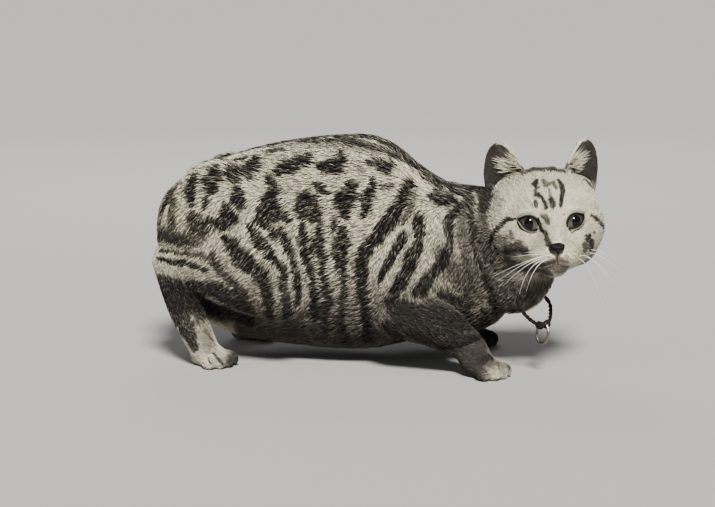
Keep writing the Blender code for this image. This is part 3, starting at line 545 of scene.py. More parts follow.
# Painted shade, the darkest soft areas: the throat, the breast, and the legs' inner parts.
SHADES = [
    (0.65, [(512, 290, 22), (526, 298, 30), (542, 290, 24), (554, 282, 12)]),
    (0.55, [(510, 270, 14), (524, 271, 12), (538, 271, 12), (548, 273, 9)]),
    (0.35, [(534, 266, 6), (545, 265, 6)]),
    (0.50, [(541, 273, 9), (550, 277, 9), (558, 279, 6)]),
    (0.40, [(550, 269, 7), (560, 272, 7), (569, 269, 4)]),
    (0.45, [(168, 180, 16), (166, 202, 20), (161, 226, 20), (158, 238, 12)]),
    (0.55, [(262, 146, 7), (300, 142, 9), (340, 141, 12), (380, 149, 12), (410, 163, 12), (440, 181, 10)]),
    (0.35, [(446, 256, 18), (460, 274, 22), (474, 292, 22)]),
    (0.55, [(486, 310, 20), (492, 326, 24), (496, 342, 16)]),
    (0.60, [(474, 204, 14), (478, 236, 18), (486, 266, 20), (494, 292, 24)]),
    (0.55, [(214, 336, 20), (260, 343, 16), (330, 346, 14), (400, 345, 16)]),
    (0.30, [(262, 322, 26), (300, 328, 26), (345, 332, 26), (390, 328, 26)]),
    (0.40, [(172, 190, 8), (165, 210, 10), (161, 234, 10)]),
    (0.60, [(402, 312, 30), (424, 324, 42), (456, 326, 34), (474, 332, 20)]),
    (0.60, [(176, 292, 26), (196, 302, 34), (226, 312, 34), (250, 322, 26)]),
    (0.35, [(462, 350, 22), (476, 354, 22), (486, 356, 12)]),
    (0.45, [(498, 262, 16), (506, 280, 22), (514, 300, 26), (508, 316, 22)]),
    (0.30, [(452, 262, 20), (466, 280, 24), (478, 296, 22)]),
    (0.45, [(460, 212, 12), (463, 232, 15), (469, 254, 16), (476, 274, 18)]),
]
FACE_MARKS = [
    (1.0, [(536.5, 180, 3.5), (535, 184, 6), (536, 187, 3)]),
    (0.9, [(539, 187, 2.5), (535, 191, 3.5)]),
    (1.0, [(537.5, 195, 5.5), (541, 197, 2.5), (544, 201, 4), (546, 208, 4)]),
    (0.9, [(535.5, 201, 3.5), (535.5, 206, 5)]),
    (0.82, [(543, 180, 4), (546, 185, 6.5), (553, 183, 4.5), (556, 188, 3)]),
    (0.75, [(549, 189, 3), (550.5, 197, 2.5)]),
    (0.95, [(551, 200, 6), (553, 204, 7), (553, 208, 3)]),
    (1.0, [(558, 180, 3.5), (561, 184, 5.5), (562.5, 190, 5.5), (561.5, 198, 4.2), (560.5, 206, 4)]),
    (0.9, [(563.5, 214.5, 2.6)]),
    (0.85, [(542, 216, 4.5), (545, 217, 5.5), (547.5, 221, 5.5), (549, 224, 3)]),
    (1.0, [(537.8, 219, 3), (539.4, 222.5, 4.5), (540.6, 226, 5.5), (541.6, 229, 5), (544, 232, 2.5)]),
    (0.95, [(544, 232, 3.5), (546, 234, 5.5), (547, 238, 6), (548.5, 242, 6), (550.5, 246, 6),
            (553, 249, 5)]),
    (1.0, [(517.6, 219.5, 3), (515.5, 218.8, 2.5)]),
    # Along the mouth: the lips' dark line with painted shade under the upper lip.
    (0.65, [(541, 264, 3.5), (548, 262, 4), (555, 260, 4), (559, 259, 4.5), (563, 260.5, 3.5),
            (568, 262, 2)]),
    (1.0, [(514, 219.5, 3), (508, 219, 5), (502, 224, 5), (496, 231, 5), (491, 241, 4), (489, 246, 3)]),
    (0.85, [(505, 252, 5), (512, 248, 8), (519, 246, 11), (525, 251, 9)]),
    (0.6, [(506, 258, 5), (516, 262, 4)]),
    (0.75, [(511, 232, 4), (513, 239, 4)]),
    (0.6, [(497, 248, 6), (496, 262, 7), (500, 274, 6)]),
    (1.0, [(591, 215.2, 3.2), (594, 217, 4), (598, 221, 5), (601, 224.5, 5), (604, 229, 4.5)]),
    (0.9, [(593.5, 232.8, 3.2)]),
    (1.0, [(585.5, 236, 2.5), (588, 237, 4), (590.5, 235.5, 4)]),
    (1.0, [(587, 240, 4), (590.5, 241, 7), (592, 245, 10), (591.5, 249, 8), (595, 250.5, 6),
           (599, 251.5, 3)]),
    (0.85, [(584, 245, 5), (587, 247, 7), (585, 250, 5)]),
    (1.0, [(570, 173.5, 2), (575, 175, 3), (583, 177, 3.5), (589, 179, 3)]),
    (1.0, [(584, 181, 3), (587.5, 183, 7), (589.5, 186.5, 7)]),
    (0.85, [(524, 174, 5), (534, 171, 8), (548, 170, 9), (562, 172, 6)]),
    (0.5, [(501, 200, 1.5), (505, 201, 1.5)]),
]
# Marks of the back, given as places along the spine, which the photo shows edge on: (x, half width).
SPINE_MARKS = [
    ((0.104, 0.060), 0.0095), ((0.064, 0.010), 0.0150), ((0.014, -0.030), 0.0125), ((-0.026, -0.064), 0.0090),
    ((-0.060, -0.094), 0.0070), ((-0.094, -0.122), 0.0060), ((-0.124, -0.150), 0.0055),
]
# Marks that only the side turned away has, on the breast and behind: (how dark, half width, places).
HIDDEN_MARKS = [
    (0.85, 0.0045, [(0.100, 0.005, 0.158), (0.104, 0.036, 0.138), (0.108, 0.044, 0.118),
                    (0.112, 0.042, 0.098)]),
    (0.85, 0.0045, [(0.112, 0.042, 0.098), (0.118, 0.033, 0.084), (0.124, 0.014, 0.074)]),
    (0.85, 0.0040, [(0.124, 0.020, 0.148), (0.130, 0.034, 0.130), (0.134, 0.036, 0.112),
                    (0.138, 0.030, 0.096)]),
    (0.85, 0.0040, [(0.138, 0.030, 0.096), (0.144, 0.012, 0.086)]),
    (0.95, 0.0042, [(-0.176, -0.014, 0.165), (-0.186, -0.017, 0.146), (-0.190, -0.024, 0.132)]),
    (0.95, 0.0040, [(-0.174, 0.020, 0.166), (-0.186, 0.018, 0.150), (-0.192, 0.010, 0.136)]),
    (0.9, 0.0040, [(-0.196, 0.004, 0.126), (-0.197, 0.012, 0.112), (-0.194, 0.024, 0.104)]),
    (0.9, 0.0038, [(-0.194, -0.034, 0.112), (-0.196, -0.020, 0.104), (-0.197, -0.006, 0.106)]),
    (0.85, 0.0035, [(-0.192, 0.040, 0.122), (-0.194, 0.034, 0.114)]),
    (0.85, 0.0045, [(-0.190, 0.030, 0.080), (-0.184, 0.046, 0.074), (-0.176, 0.056, 0.076)]),
    (0.85, 0.0045, [(-0.190, -0.030, 0.080), (-0.184, -0.044, 0.076)]),
    (0.8, 0.0060, [(-0.192, -0.055, 0.066), (-0.184, -0.056, 0.046), (-0.174, -0.057, 0.026)]),
    (0.8, 0.0060, [(-0.186, 0.055, 0.066), (-0.178, 0.056, 0.046), (-0.168, 0.057, 0.026)]),
    (0.95, 0.0040, [(-0.150, 0.016, 0.186), (-0.136, 0.020, 0.188)]),
    (0.95, 0.0042, [(-0.118, 0.026, 0.190), (-0.104, 0.029, 0.190)]),
    (0.95, 0.0040, [(-0.132, -0.024, 0.186), (-0.118, -0.026, 0.188)]),
    (0.9, 0.0038, [(-0.084, 0.026, 0.196), (-0.070, 0.028, 0.197)]),
    (0.9, 0.0036, [(-0.096, -0.022, 0.192), (-0.084, -0.024, 0.194)]),
    (0.7, 0.005, [(0.122, -0.028, 0.060), (0.128, 0.000, 0.054), (0.118, 0.028, 0.062)]),
    (0.7, 0.005, [(0.110, -0.030, 0.040), (0.118, 0.000, 0.036), (0.108, 0.030, 0.042)]),
]
HIDDEN_WASHES = [
    (0.85, 0.020, [(0.100, 0.030, 0.135), (0.110, 0.042, 0.110), (0.125, 0.030, 0.085),
                   (0.142, 0.012, 0.088)]),
    (0.60, 0.014, [(0.126, 0.020, 0.146), (0.136, 0.032, 0.118), (0.150, 0.018, 0.100)]),
]
# Stripes over the crown to the nape, in the head's frame.
CROWN_STRIPES = (-0.023, -0.0085, 0.0085, 0.023)
CROWN_PATH = [
    (-0.027, 0.041), (-0.036, 0.043), (-0.048, 0.040), (-0.062, 0.030), (-0.070, 0.016), (-0.072, -0.004),
]
CROWN_RADIUS, CROWN_DARK = 0.0024, 0.85
SPINE_PLACES, ABOVE_SPINE = 6, 0.4
# How far apart the places of a stroke are at most, in pixels and in metres, and the gap at which it breaks.
PIXEL_STEP, METRE_STEP, STROKE_GAP = 4.0, 0.004, 0.012
SOFT_EDGE, CRISP_EDGE, FACE_EDGE = 0.7, 0.20, 0.35
# How uneven the strokes' edges are: by how much, and the waves' sizes, seeds and shares.
RAGGEDNESS = 0.28
ROUGH_WAVES = ((0.0075, 3, 0.6), (0.0028, 4, 0.4))
FAR_AWAY = 9.0
# Painted shade of the lower flank and the belly: how dark and how grey, the heights between which each fades
# in, its waves, and where it stops in front, at the feet's tops, behind the hind feet and before the fore
# feet.
BELLY_SHADE_MARK, BELLY_SHADE_WASH = 0.70, 0.90
BELLY_SHADE_MARK_HEIGHT, BELLY_SHADE_WASH_HEIGHT = (0.066, 0.022), (0.112, 0.046)
BELLY_SHADE_WAVE, BELLY_SHADE_WAVE_SIZE, BELLY_SHADE_SEED = 0.006, 0.020, 5
BELLY_SHADE_FRONT, FEET_TOP, HIND_FEET, FORE_FEET = (0.122, 0.140), (0.050, 0.042), (-0.118, -0.126), (0.100, 0.112)
# Marks of the near cheek behind this x and further out than this y are copied to the other cheek.
CHEEK_BACK, CHEEK_OUT = -0.014, -0.026
LEFT_SHIFT_X = 0.006
BODY_SPREAD, FACE_SPREAD = 1.42, 1.12


def dense(places, step=PIXEL_STEP):
    """The places with more between them, at most step apart."""
    made = [places[0]]
    for a, b in zip(places, places[1:]):
        count = max(1, math.ceil(math.dist(a[:2], b[:2]) / step))
        made += [tuple(p + (q - p) * k / count for p, q in zip(a, b)) for k in range(1, count + 1)]
    return made


def cast_stroke(surface, places):
    """A stroke's places as runs of (point, radius) on the surface, broken where the surface falls away."""
    runs, last = [[]], None
    for x, y, width in dense(places):
        hit = cast(surface, (x, y))
        if hit is None:
            continue
        if last is not None and (hit - last).length > STROKE_GAP:
            runs.append([])
        runs[-1].append((*hit, width / 2 * PIXEL_SIZE))
        last = hit
    return [np.array(run) for run in runs if run]


def settled(surface, point):
    """The place of a surface nearest to a point."""
    return np.array(surface.find_nearest(Vector(point))[0])


def on_other_flank(surface, run):
    """A run mirrored to the cat's left side."""
    mirrored = run * (1, -1, 1, 1) + (LEFT_SHIFT_X, 0, 0, 0)
    mirrored[:, :3] = [settled(surface, point) for point in mirrored[:, :3]]
    return mirrored


def on_other_cheek(surface, run):
    """A run mirrored to the left side of the head."""
    local = in_head(run[:, :3]) * (1, -1, 1)
    mirrored = run.copy()
    mirrored[:, :3] = [settled(surface, HEAD @ Vector(point)) for point in local]
    return mirrored


def behind_the_face(run):
    """Whether a run of the near cheek is one that the photo doesn't show on the other cheek."""
    local = in_head(run[:, :3]).mean(axis=0)
    return local[1] < CHEEK_OUT and local[0] < CHEEK_BACK


def stroke_list(surface):
    """All strokes as (layer, how dark, softness, run). Layer 0 is marks, and layer 1 washes; both hold
    painted shade as well as the coat's own marks.
    """
    strokes = []
    tables = [
        (0, CRISP_EDGE, BODY_SPREAD, BODY_MARKS + NECK_MARKS, on_other_flank),
        (0, CRISP_EDGE, 1.0, RIDGE_MARKS + LEG_MARKS, on_other_flank),
        (1, SOFT_EDGE, 1.0, WASHES_AND_SHADE, on_other_flank),
        (0, FACE_EDGE, FACE_SPREAD, FACE_MARKS, on_other_cheek),
        (1, SOFT_EDGE, 1.0, HEAD_WASHES_AND_SHADE, on_other_cheek),
        (0, SOFT_EDGE, 1.0, SHADES, on_other_flank),
    ]
    for layer, softness, spread, marks, mirror in tables:
        for dark, places in marks:
            for run in cast_stroke(surface, places):
                run[:, 3] *= spread
                strokes.append((layer, dark, softness, run))
                if mirror is on_other_flank or behind_the_face(run):
                    strokes.append((layer, dark, softness, mirror(surface, run)))
    for (start, end), radius in SPINE_MARKS:
        above = [Vector((x, 0, ABOVE_SPINE)) for x in np.linspace(start, end, SPINE_PLACES)]
        tops = [surface.ray_cast(place, Vector((0, 0, -1)))[0] for place in above]
        strokes.append((0, 1.0, CRISP_EDGE, np.array([(*top, radius) for top in tops if top])))
    for layer, softness, marks in ((0, CRISP_EDGE, HIDDEN_MARKS), (1, SOFT_EDGE, HIDDEN_WASHES)):
        for dark, radius, places in marks:
            run = [(*settled(surface, p), radius) for p in dense(places, METRE_STEP)]
            strokes.append((layer, dark, softness, np.array(run)))
    for y in CROWN_STRIPES:
        path = dense([(x, y, z) for x, z in CROWN_PATH], METRE_STEP)
        run = [(*settled(surface, HEAD @ Vector(place)), CROWN_RADIUS) for place in path]
        strokes.append((0, CROWN_DARK, CRISP_EDGE, np.array(run)))
    return strokes


def belly_shade(points):
    """Painted shade of the lower flank and the belly, as marks and washes that grow darker lower down."""
    height = points[:, 2] + BELLY_SHADE_WAVE * ripple(points, BELLY_SHADE_WAVE_SIZE, BELLY_SHADE_SEED)
    ahead = points[:, 0]
    feet = ramp(*FEET_TOP, points[:, 2]) * np.maximum(ramp(*HIND_FEET, ahead), ramp(*FORE_FEET, ahead))
    share = (1 - ramp(*BELLY_SHADE_FRONT, ahead)) * (1 - feet)
    mark = share * BELLY_SHADE_MARK * ramp(*BELLY_SHADE_MARK_HEIGHT, height)
    wash = share * BELLY_SHADE_WASH * ramp(*BELLY_SHADE_WASH_HEIGHT, height)
    return np.stack([mark, wash], axis=1)


def painted(points, strokes):
    """How far each point is marked dark, and washed grey, from 0 to 1, painted shade included."""
    # The lower body's painted shade, under the strokes.
    layers = belly_shade(points)
    rough = sum(ripple(points, size, seed) * share for size, seed, share in ROUGH_WAVES)
    for layer, dark, softness, run in strokes:
        reach = run[:, 3:].max() * (1 + softness + RAGGEDNESS)
        low, high = run[:, :3].min(axis=0) - reach, run[:, :3].max(axis=0) + reach
        near = np.flatnonzero(np.all((points > low) & (points < high), axis=1))
        if not len(near):
            continue
        here = points[near]
        edge = np.full(len(near), FAR_AWAY)
        for a, b in zip(run, run[1:] if len(run) > 1 else run):
            along = b[:3] - a[:3]
            t = np.clip((here - a[:3]) @ along / max(along @ along, TINY), 0, 1)
            gap = np.linalg.norm(here - a[:3] - t[:, None] * along, axis=1)
            edge = np.minimum(edge, gap / (a[3] + t * (b[3] - a[3])))
        share = dark * ramp(1 + softness, 1 - softness, edge + rough[near] * RAGGEDNESS)
        layers[near, layer] = np.maximum(layers[near, layer], share)
    return layers


# The mesh layer of how dark and how grey the coat is, painted shade included, the place along a tuft, and the
# tuft's tone.
COLOURS = "coat_colour"
# No tuft grows below this height, or nearer to an eye's middle than this.
SOLE_HEIGHT = 0.0012
EYE_CLEAR = 0.0119
EAR_THINNING = 0.45
# A tuft: how deep its root is, its rings as places along it and their widths, how high its section is, and
# the places along it that follow the surface with the share of its lift that they have.
ROOT_DEPTH = 0.0004
TUFT_RINGS = ((0.0, 0.75), (0.48, 1.0))
TUFT_THICKNESS = 0.9
TUFT_PLACES = ((0.5, 0.75), (1.0, 1.0))
# A tuft goes straight where the surface is further off than this share of its length, or turns away more.
STRAY_SHARE, STRAY_TURN = 0.6, 0.1
LENGTHS, WIDTHS, LIFTS, SWAY = (0.7, 1.25), (0.75, 1.25), (0.45, 1.15), 0.22
LAYOUT_TRIANGLES, LAYOUT_ANGLE_DEG, LAYOUT_MARGIN = 6000, 66, 0.004
FLECKS = 0.08
# The share of the tufts that are ticked on the body and on the head, and how much: dark ones in the pale
# coat, and pale ones in the dark.
TICKED_BODY, TICKED_HEAD, TICK, TICK_TURN = 0.16, 0.08, 0.50, 1.5


def shrunk(points, triangles, depth):
    """The fused surface drawn in by the coat's depth, and by what it was swollen."""
    edges = edges_of(triangles)
    normals = eased(normals_of(points, triangles), edges, SHRUNK_SMOOTHING)
    drawn = points - unit(normals) * (depth[:, None] + SWELL)
    return eased(drawn, edges, SHRUNK_SMOOTHING, SHRUNK_SHARE * (1 - SHRUNK_CALM * detail_of(points)))


def layout_of(points, triangles):
    """An unwrap of a coarse skin: its search tree, and its corners' places in space and on the map."""
    obj = mesh_from("layout", points, triangles)
    thin = obj.modifiers.new("thin", "DECIMATE")
    thin.ratio = LAYOUT_TRIANGLES / len(triangles)
    obj = placed("layout", applied(obj))
    bpy.context.view_layer.objects.active = obj
    obj.select_set(True)
    bpy.ops.object.mode_set(mode="EDIT")
    bpy.ops.mesh.select_all(action="SELECT")
    bpy.ops.uv.smart_project(angle_limit=math.radians(LAYOUT_ANGLE_DEG), island_margin=LAYOUT_MARGIN)
    bpy.ops.object.mode_set(mode="OBJECT")
    coarse, faces = arrays_of(obj.data)
    loops = np.array([triangle.loops for triangle in obj.data.loop_triangles])
    places = np.empty(len(obj.data.loops) * 2, np.float32)
    obj.data.uv_layers.active.data.foreach_get("uv", places)
    bpy.data.objects.remove(obj)
    return search_tree(coarse, faces), coarse[faces], places.reshape(-1, 2)[loops]


def map_places(points, layout):
    """Each point's place on the unwrap."""
    tree, corners, places = layout
    on, _, face = nearest(tree, points)
    a, b, c = (corners[face, k] for k in range(3))
    u, v, w = b - a, c - a, on - a
    uu, uv, vv = (u * u).sum(1), (u * v).sum(1), (v * v).sum(1)
    wu, wv = (w * u).sum(1), (w * v).sum(1)
    area = np.maximum(uu * vv - uv * uv, TINY_AREA)
    s = ((vv * wu - uv * wv) / area)[:, None]
    t = ((uu * wv - uv * wu) / area)[:, None]
    return places[face, 0] * (1 - s - t) + places[face, 1] * s + places[face, 2] * t


def drawn_roots(points, triangles, coat, lie, ear_share, count, clear=EYE_CLEAR):
    """Where tufts grow: their roots, and the normal, size and lie there. Small tufts grow closer."""
    a, b, c = (points[triangles[:, k]] for k in range(3))
    area = np.linalg.norm(np.cross(b - a, c - a), axis=1) / 2
    size = coat[triangles].mean(axis=1)
    closeness = area / (size[:, 1] * size[:, 2]) * (1 - EAR_THINNING * ear_share[triangles].mean(axis=1))
    middle = (a + b + c) / 3
    closeness[from_eyes(middle) < clear] = 0
    closeness[middle[:, 2] < SOLE_HEIGHT] = 0
    face = RANDOM.choice(len(triangles), count, p=closeness / closeness.sum())
    share = RANDOM.dirichlet((1, 1, 1), count)[:, :, None]
    normals = normals_of(points, triangles)

    def at(values):
        return (values[triangles[face]] * share).sum(axis=1)

    return at(points), unit(at(normals)), at(coat), unit(at(lie))


def tangent(vectors, normals):
    return unit(vectors - normals * (vectors * normals).sum(axis=1, keepdims=True))


def tuft_centres(root, normal, way, length, lift, surface):
    """A tuft's middle line: down on the skin at its root, and lifted off it at its middle and its tip."""
    lines = [root - normal * ROOT_DEPTH]
    for share, rise in TUFT_PLACES:
        ahead = root + way * (length * share)[:, None]
        on, up, _ = nearest(surface, ahead)
        gap = np.linalg.norm(on - ahead, axis=1)
        far = (gap > STRAY_SHARE * length) | ((up * normal).sum(axis=1) < STRAY_TURN)
        on[far], up[far] = ahead[far], normal[far]
        lines.append(on + up * (lift * rise)[:, None])
    return lines


def tuft_mesh(lines, normal, way, width):
    """Tapered three-sided tufts: points, triangles, and each point's place along and across its tuft."""
    start, middle, end = lines
    side = unit(np.cross(normal, way))
    rings = []
    for t, wide in TUFT_RINGS:
        centre = start * (1 - t) ** 2 + (4 * middle - start - end) * t * (1 - t) + end * t**2
        half = (width * wide / 2)[:, None]
        rings += [centre - side * half, centre + side * half, centre + normal * half * TUFT_THICKNESS]
    points = np.stack([*rings, end], axis=1)
    tip = 3 * len(TUFT_RINGS)
    faces = []
    for a, b in ((0, 1), (1, 2), (2, 0)):
        faces += [(a, b, b + 3), (a, b + 3, a + 3), (a + 3, b + 3, tip)]
    along = np.array([t for t, _ in TUFT_RINGS for _ in range(3)] + [1.0])
    across = np.array([-0.5, 0.5, 0.0] * len(TUFT_RINGS) + [0.0])
    first = np.arange(len(points))[:, None, None] * points.shape[1]
    return points, np.array(faces)[None] + first, along, across


def add_colours(obj, colours):
    layer = obj.data.color_attributes.new(COLOURS, "FLOAT_COLOR", "POINT")
    layer.data.foreach_set("color", np.ascontiguousarray(colours, np.float32).ravel())


def add_map(obj, places):
    layer = obj.data.uv_layers.new(name="OFBake")
    index = np.empty(len(obj.data.loops), np.int32)
    obj.data.loops.foreach_get("vertex_index", index)
    layer.data.foreach_set("uv", np.ascontiguousarray(places[index], np.float32).ravel())


def make_coat(name, roots, strokes, surface, layout, finish, paint=None):
    """Tufts on roots, as pieces of the coat. Each has one colour, that of the markings half way along it.

    paint is a search tree, its triangles and its points' own marks, which count where they are darker.
    """
    root, normal, coat, lie = roots
    count = len(root)
    length = coat[:, 1] * RANDOM.uniform(*LENGTHS, count)
    width = coat[:, 2] * RANDOM.uniform(*WIDTHS, count)
    lift = coat[:, 3] * RANDOM.uniform(*LIFTS, count)
    sway = unit(np.cross(normal, lie)) * RANDOM.normal(0, SWAY, count)[:, None]
    way = tangent(lie + sway, normal)
    middle = root + way * (length * 0.5)[:, None]
    marks = painted(middle, strokes)
    if paint is not None:
        tree, painted_triangles, own_marks = paint
        here = painted_triangles[nearest(tree, middle)[2]]
        marks = np.maximum(marks, own_marks[here].mean(axis=1))
    ticked = RANDOM.uniform(0, 1, count) < TICKED_BODY + (TICKED_HEAD - TICKED_BODY) * head_share(middle)
    marks[:, 0] += np.where(ticked, TICK * (1 - TICK_TURN * marks[:, 0]), 0)
    for layer in (0, 1):
        marks[:, layer] = np.clip(marks[:, layer] + RANDOM.normal(0, FLECKS, count), 0, 1)
    tone = RANDOM.uniform(0, 1, count)
    lines = tuft_centres(root, normal, way, length, lift, surface)
    places = map_places(root, layout)
    order = np.argsort(root[:, 0])
    for piece, first in enumerate(range(0, count, TUFTS_A_PIECE)):
        pick = order[first : first + TUFTS_A_PIECE]
        picked = [line[pick] for line in lines]
        points, faces, along, across = tuft_mesh(picked, normal[pick], way[pick], width[pick])
        obj = mesh_from(f"{name}_{piece + 1:02d}", points.reshape(-1, 3), faces.reshape(-1, 3))
        colours = np.ones((*points.shape[:2], 4))
        colours[:, :, :2] = marks[pick][:, None, :]
        colours[:, :, 2] = along[None, :]
        colours[:, :, 3] = tone[pick][:, None]
        add_colours(obj, colours.reshape(-1, 4))
        offset = np.stack([across, along - 0.5], axis=1) * PATCH
        add_map(obj, (places[pick][:, None, :] + offset[None]).reshape(-1, 2))
        dressed(obj, finish)


def dressed(obj, finish):
    """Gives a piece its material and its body."""
    obj.data.materials.clear()
    obj.data.materials.append(finish)
    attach(obj, "root")
    return obj


NOISE_ROUGHNESS = 0.6


class Graph:
    """A short way to write a material's nodes."""

    def __init__(self, name, roughness, sheen=0.0, metallic=0.0, specular=0.5):
        self.material = bpy.data.materials.new(name)
        self.material.use_nodes = True
        self.tree = self.material.node_tree
        self.shader = self.tree.nodes["Principled BSDF"]
        self.shader.inputs["Roughness"].default_value = roughness
        self.shader.inputs["Sheen Weight"].default_value = sheen
        self.shader.inputs["Metallic"].default_value = metallic
        self.shader.inputs["Specular IOR Level"].default_value = specular

    def node(self, kind, inputs=(), **settings):
        made = self.tree.nodes.new("ShaderNode" + kind)
        for key, value in settings.items():
            setattr(made, key, value)
        for key, value in dict(inputs).items():
            if hasattr(value, "is_linked"):
                self.tree.links.new(value, made.inputs[key])
            else:
                made.inputs[key].default_value = value
        return made

    def maths(self, operation, a, b, c=0.0, clamp=False):
        return self.node("Math", {0: a, 1: b, 2: c}, operation=operation, use_clamp=clamp).outputs[0]

    def mix(self, share, a, b, blend="MIX"):
        """Two colours mixed, each another node's output or three numbers."""
        a, b = (value if hasattr(value, "is_linked") else (*value, 1.0) for value in (a, b))
        return self.node("Mix", {0: share, 6: a, 7: b}, data_type="RGBA", blend_type=blend).outputs[2]

    def noise(self, scale, detail=3.0, vector=None):
        inputs = {"Scale": scale, "Detail": detail, "Roughness": NOISE_ROUGHNESS}
        if vector is not None:
            inputs["Vector"] = vector
        return self.node("TexNoise", inputs).outputs["Fac"]

    def step(self, value, low, high, before, after):
        """before below low and after above high, eased between them."""
        inputs = {"Value": value, 1: low, 2: high, 3: before, 4: after}
        return self.node("MapRange", inputs, interpolation_type="SMOOTHSTEP").outputs[0]

    def markings_and_shade(self):
        """What the mesh carries: how dark and how grey, painted shade included, the place along a tuft, and
        the tuft's own tone.
        """
        layer = self.node("Attribute", attribute_name=COLOURS)
        parts = self.node("SeparateColor", {"Color": layer.outputs["Color"]})
        return (*(parts.outputs[k] for k in range(3)), layer.outputs["Alpha"])

    def where(self):
        return self.node("TexCoord").outputs["Object"]

    def colour(self, socket):
        self.tree.links.new(socket, self.shader.inputs["Base Color"])

    def bump(self, height, distance, strength):
        made = self.node("Bump", {"Height": height, "Strength": strength, "Distance": distance})
        self.tree.links.new(made.outputs["Normal"], self.shader.inputs["Normal"])


def toned(colour, share):
    """A colour made darker or lighter."""
    return [min(1.0, c * share) for c in colour]


# How light a tuft's root is beside its tip, as painted shade deep in the coat, the darkest tuft's tone, and
# how much lighter the lightest is.
ROOT_SHADE = 0.55
TONE_LOW, TONE_RANGE = 0.81, 0.38


def coat_material():
    """Fur: the markings and painted shade on the mesh, darker at the roots as painted shade, with each tuft's
    own tone.
    """
    graph = Graph("fur", roughness=0.72, sheen=0.03, specular=0.10)
    mark, wash, along, tone = graph.markings_and_shade()
    place = graph.where()
    pale = graph.mix(graph.noise(55.0, 2.0, place), toned(PALE, 0.90), toned(PALE, 1.12))
    ground = graph.mix(wash, pale, GREY)
    warm = graph.mix(graph.noise(90.0, 2.0, place), DARK, toned(DARK, 1.7))
    hair = graph.mix(mark, ground, warm)
    shade = graph.maths("MULTIPLY_ADD", along, 1 - ROOT_SHADE, ROOT_SHADE)
    tone = graph.maths("MULTIPLY_ADD", tone, TONE_RANGE, TONE_LOW)
    dim = graph.maths("MULTIPLY", shade, tone)
    grey = graph.node("CombineColor", {"Red": dim, "Green": dim, "Blue": dim}).outputs[0]
    graph.colour(graph.mix(1.0, hair, grey, "MULTIPLY"))
    graph.bump(graph.noise(1400.0, 2.0, place), 0.0003, 0.5)
    return graph.material


def skin_material():
    """The skin under the coat: the same markings, darker than the fur as painted shade under the tufts, with
    the fine close under-fur as bump.
    """
    graph = Graph("under_coat", roughness=0.75, sheen=0.05, specular=0.2)
    mark, wash, _, _ = graph.markings_and_shade()
    fine = graph.noise(700.0, 4.0, graph.where())
    # Painted shade under the tufts: the pale and the grey made darker than the fur's.
    pale = graph.mix(fine, toned(PALE, 0.45), toned(PALE, 0.85))
    ground = graph.mix(wash, pale, toned(GREY, 0.8))
    graph.colour(graph.mix(mark, ground, DARK))
    graph.bump(fine, 0.0006, 0.8)
    return graph.material


NOSE_COLOUR = (0.0045, 0.0035, 0.0035)
RIM_COLOUR = (0.005, 0.004, 0.004)


def nose_material():
    graph = Graph("nose_skin", roughness=0.60, specular=0.14)
    pebble = graph.node("TexVoronoi", {"Scale": 1500.0, "Vector": graph.where()}).outputs["Distance"]
    graph.colour(graph.mix(pebble, toned(NOSE_COLOUR, 0.7), toned(NOSE_COLOUR, 1.8)))
    graph.bump(pebble, 0.0002, 0.6)
    return graph.material


def rim_material():
    """The bare dark skin of the lips."""
    graph = Graph("lid_skin", roughness=0.45, specular=0.2)
    graph.colour(graph.mix(graph.noise(900.0), RIM_COLOUR, toned(RIM_COLOUR, 2.0)))
    graph.bump(graph.noise(1500.0), 0.0001, 0.4)
    return graph.material


def lid_material():
    """The lids' skin: dark and damp at the edge, with close pale coat further out."""
    graph = Graph("lids", roughness=0.6, specular=0.10)
    mark, _, _, _ = graph.markings_and_shade()
    fine = graph.noise(900.0, 3.0, graph.where())
    pale = graph.mix(fine, toned(PALE, 0.70), toned(PALE, 0.95))
    graph.colour(graph.mix(mark, pale, RIM_COLOUR))
    graph.bump(fine, 0.0003, 0.6)
    return graph.material


def whisker_material():
    graph = Graph("whisker_hair", roughness=0.35, specular=0.4)
    graph.colour(graph.mix(graph.noise(120.0), (0.78, 0.75, 0.68), (0.90, 0.88, 0.82)))
    return graph.material


# The pupil's half width and half height, as shares of the iris.
PUPIL_SIZE = (0.38, 0.64)
IRIS_ANGLE_DEG = 50.0
CORNEA_ANGLE_DEG = 40.0
CORNEA_BULGE = 0.0009
EYE_RADIUS = 0.01095
EYE_OUT_DEG = 14.0
GAZE_LIFT = 0.06
IRIS_INNER = (0.070, 0.069, 0.054)
IRIS_OUTER = (0.150, 0.147, 0.118)
LIMBUS = (0.014, 0.012, 0.010)
PUPIL = (0.003, 0.003, 0.003)
# The iris fibres: how many repeats go round and outwards, and how dark the darkest is.
FIBRES_ROUND, FIBRES_OUT, FIBRE_SCALE, FIBRE_DARK = 5.0, 1.3, 3.2, 0.55
# On the iris, whose edge is at 1: where the upper lid's shade begins and is full and how much it hides, and
# where the dark rim and the pupil's edge begin and end.
LID_SHADE, LID_SHADE_SHARE = (-0.35, 0.45), 0.85
IRIS_RIM, PUPIL_EDGE = (0.80, 1.02), (0.80, 1.25)
EYE_SPOKES, EYE_RINGS, EYE_RING_GROWTH = 72, 54, 1.25


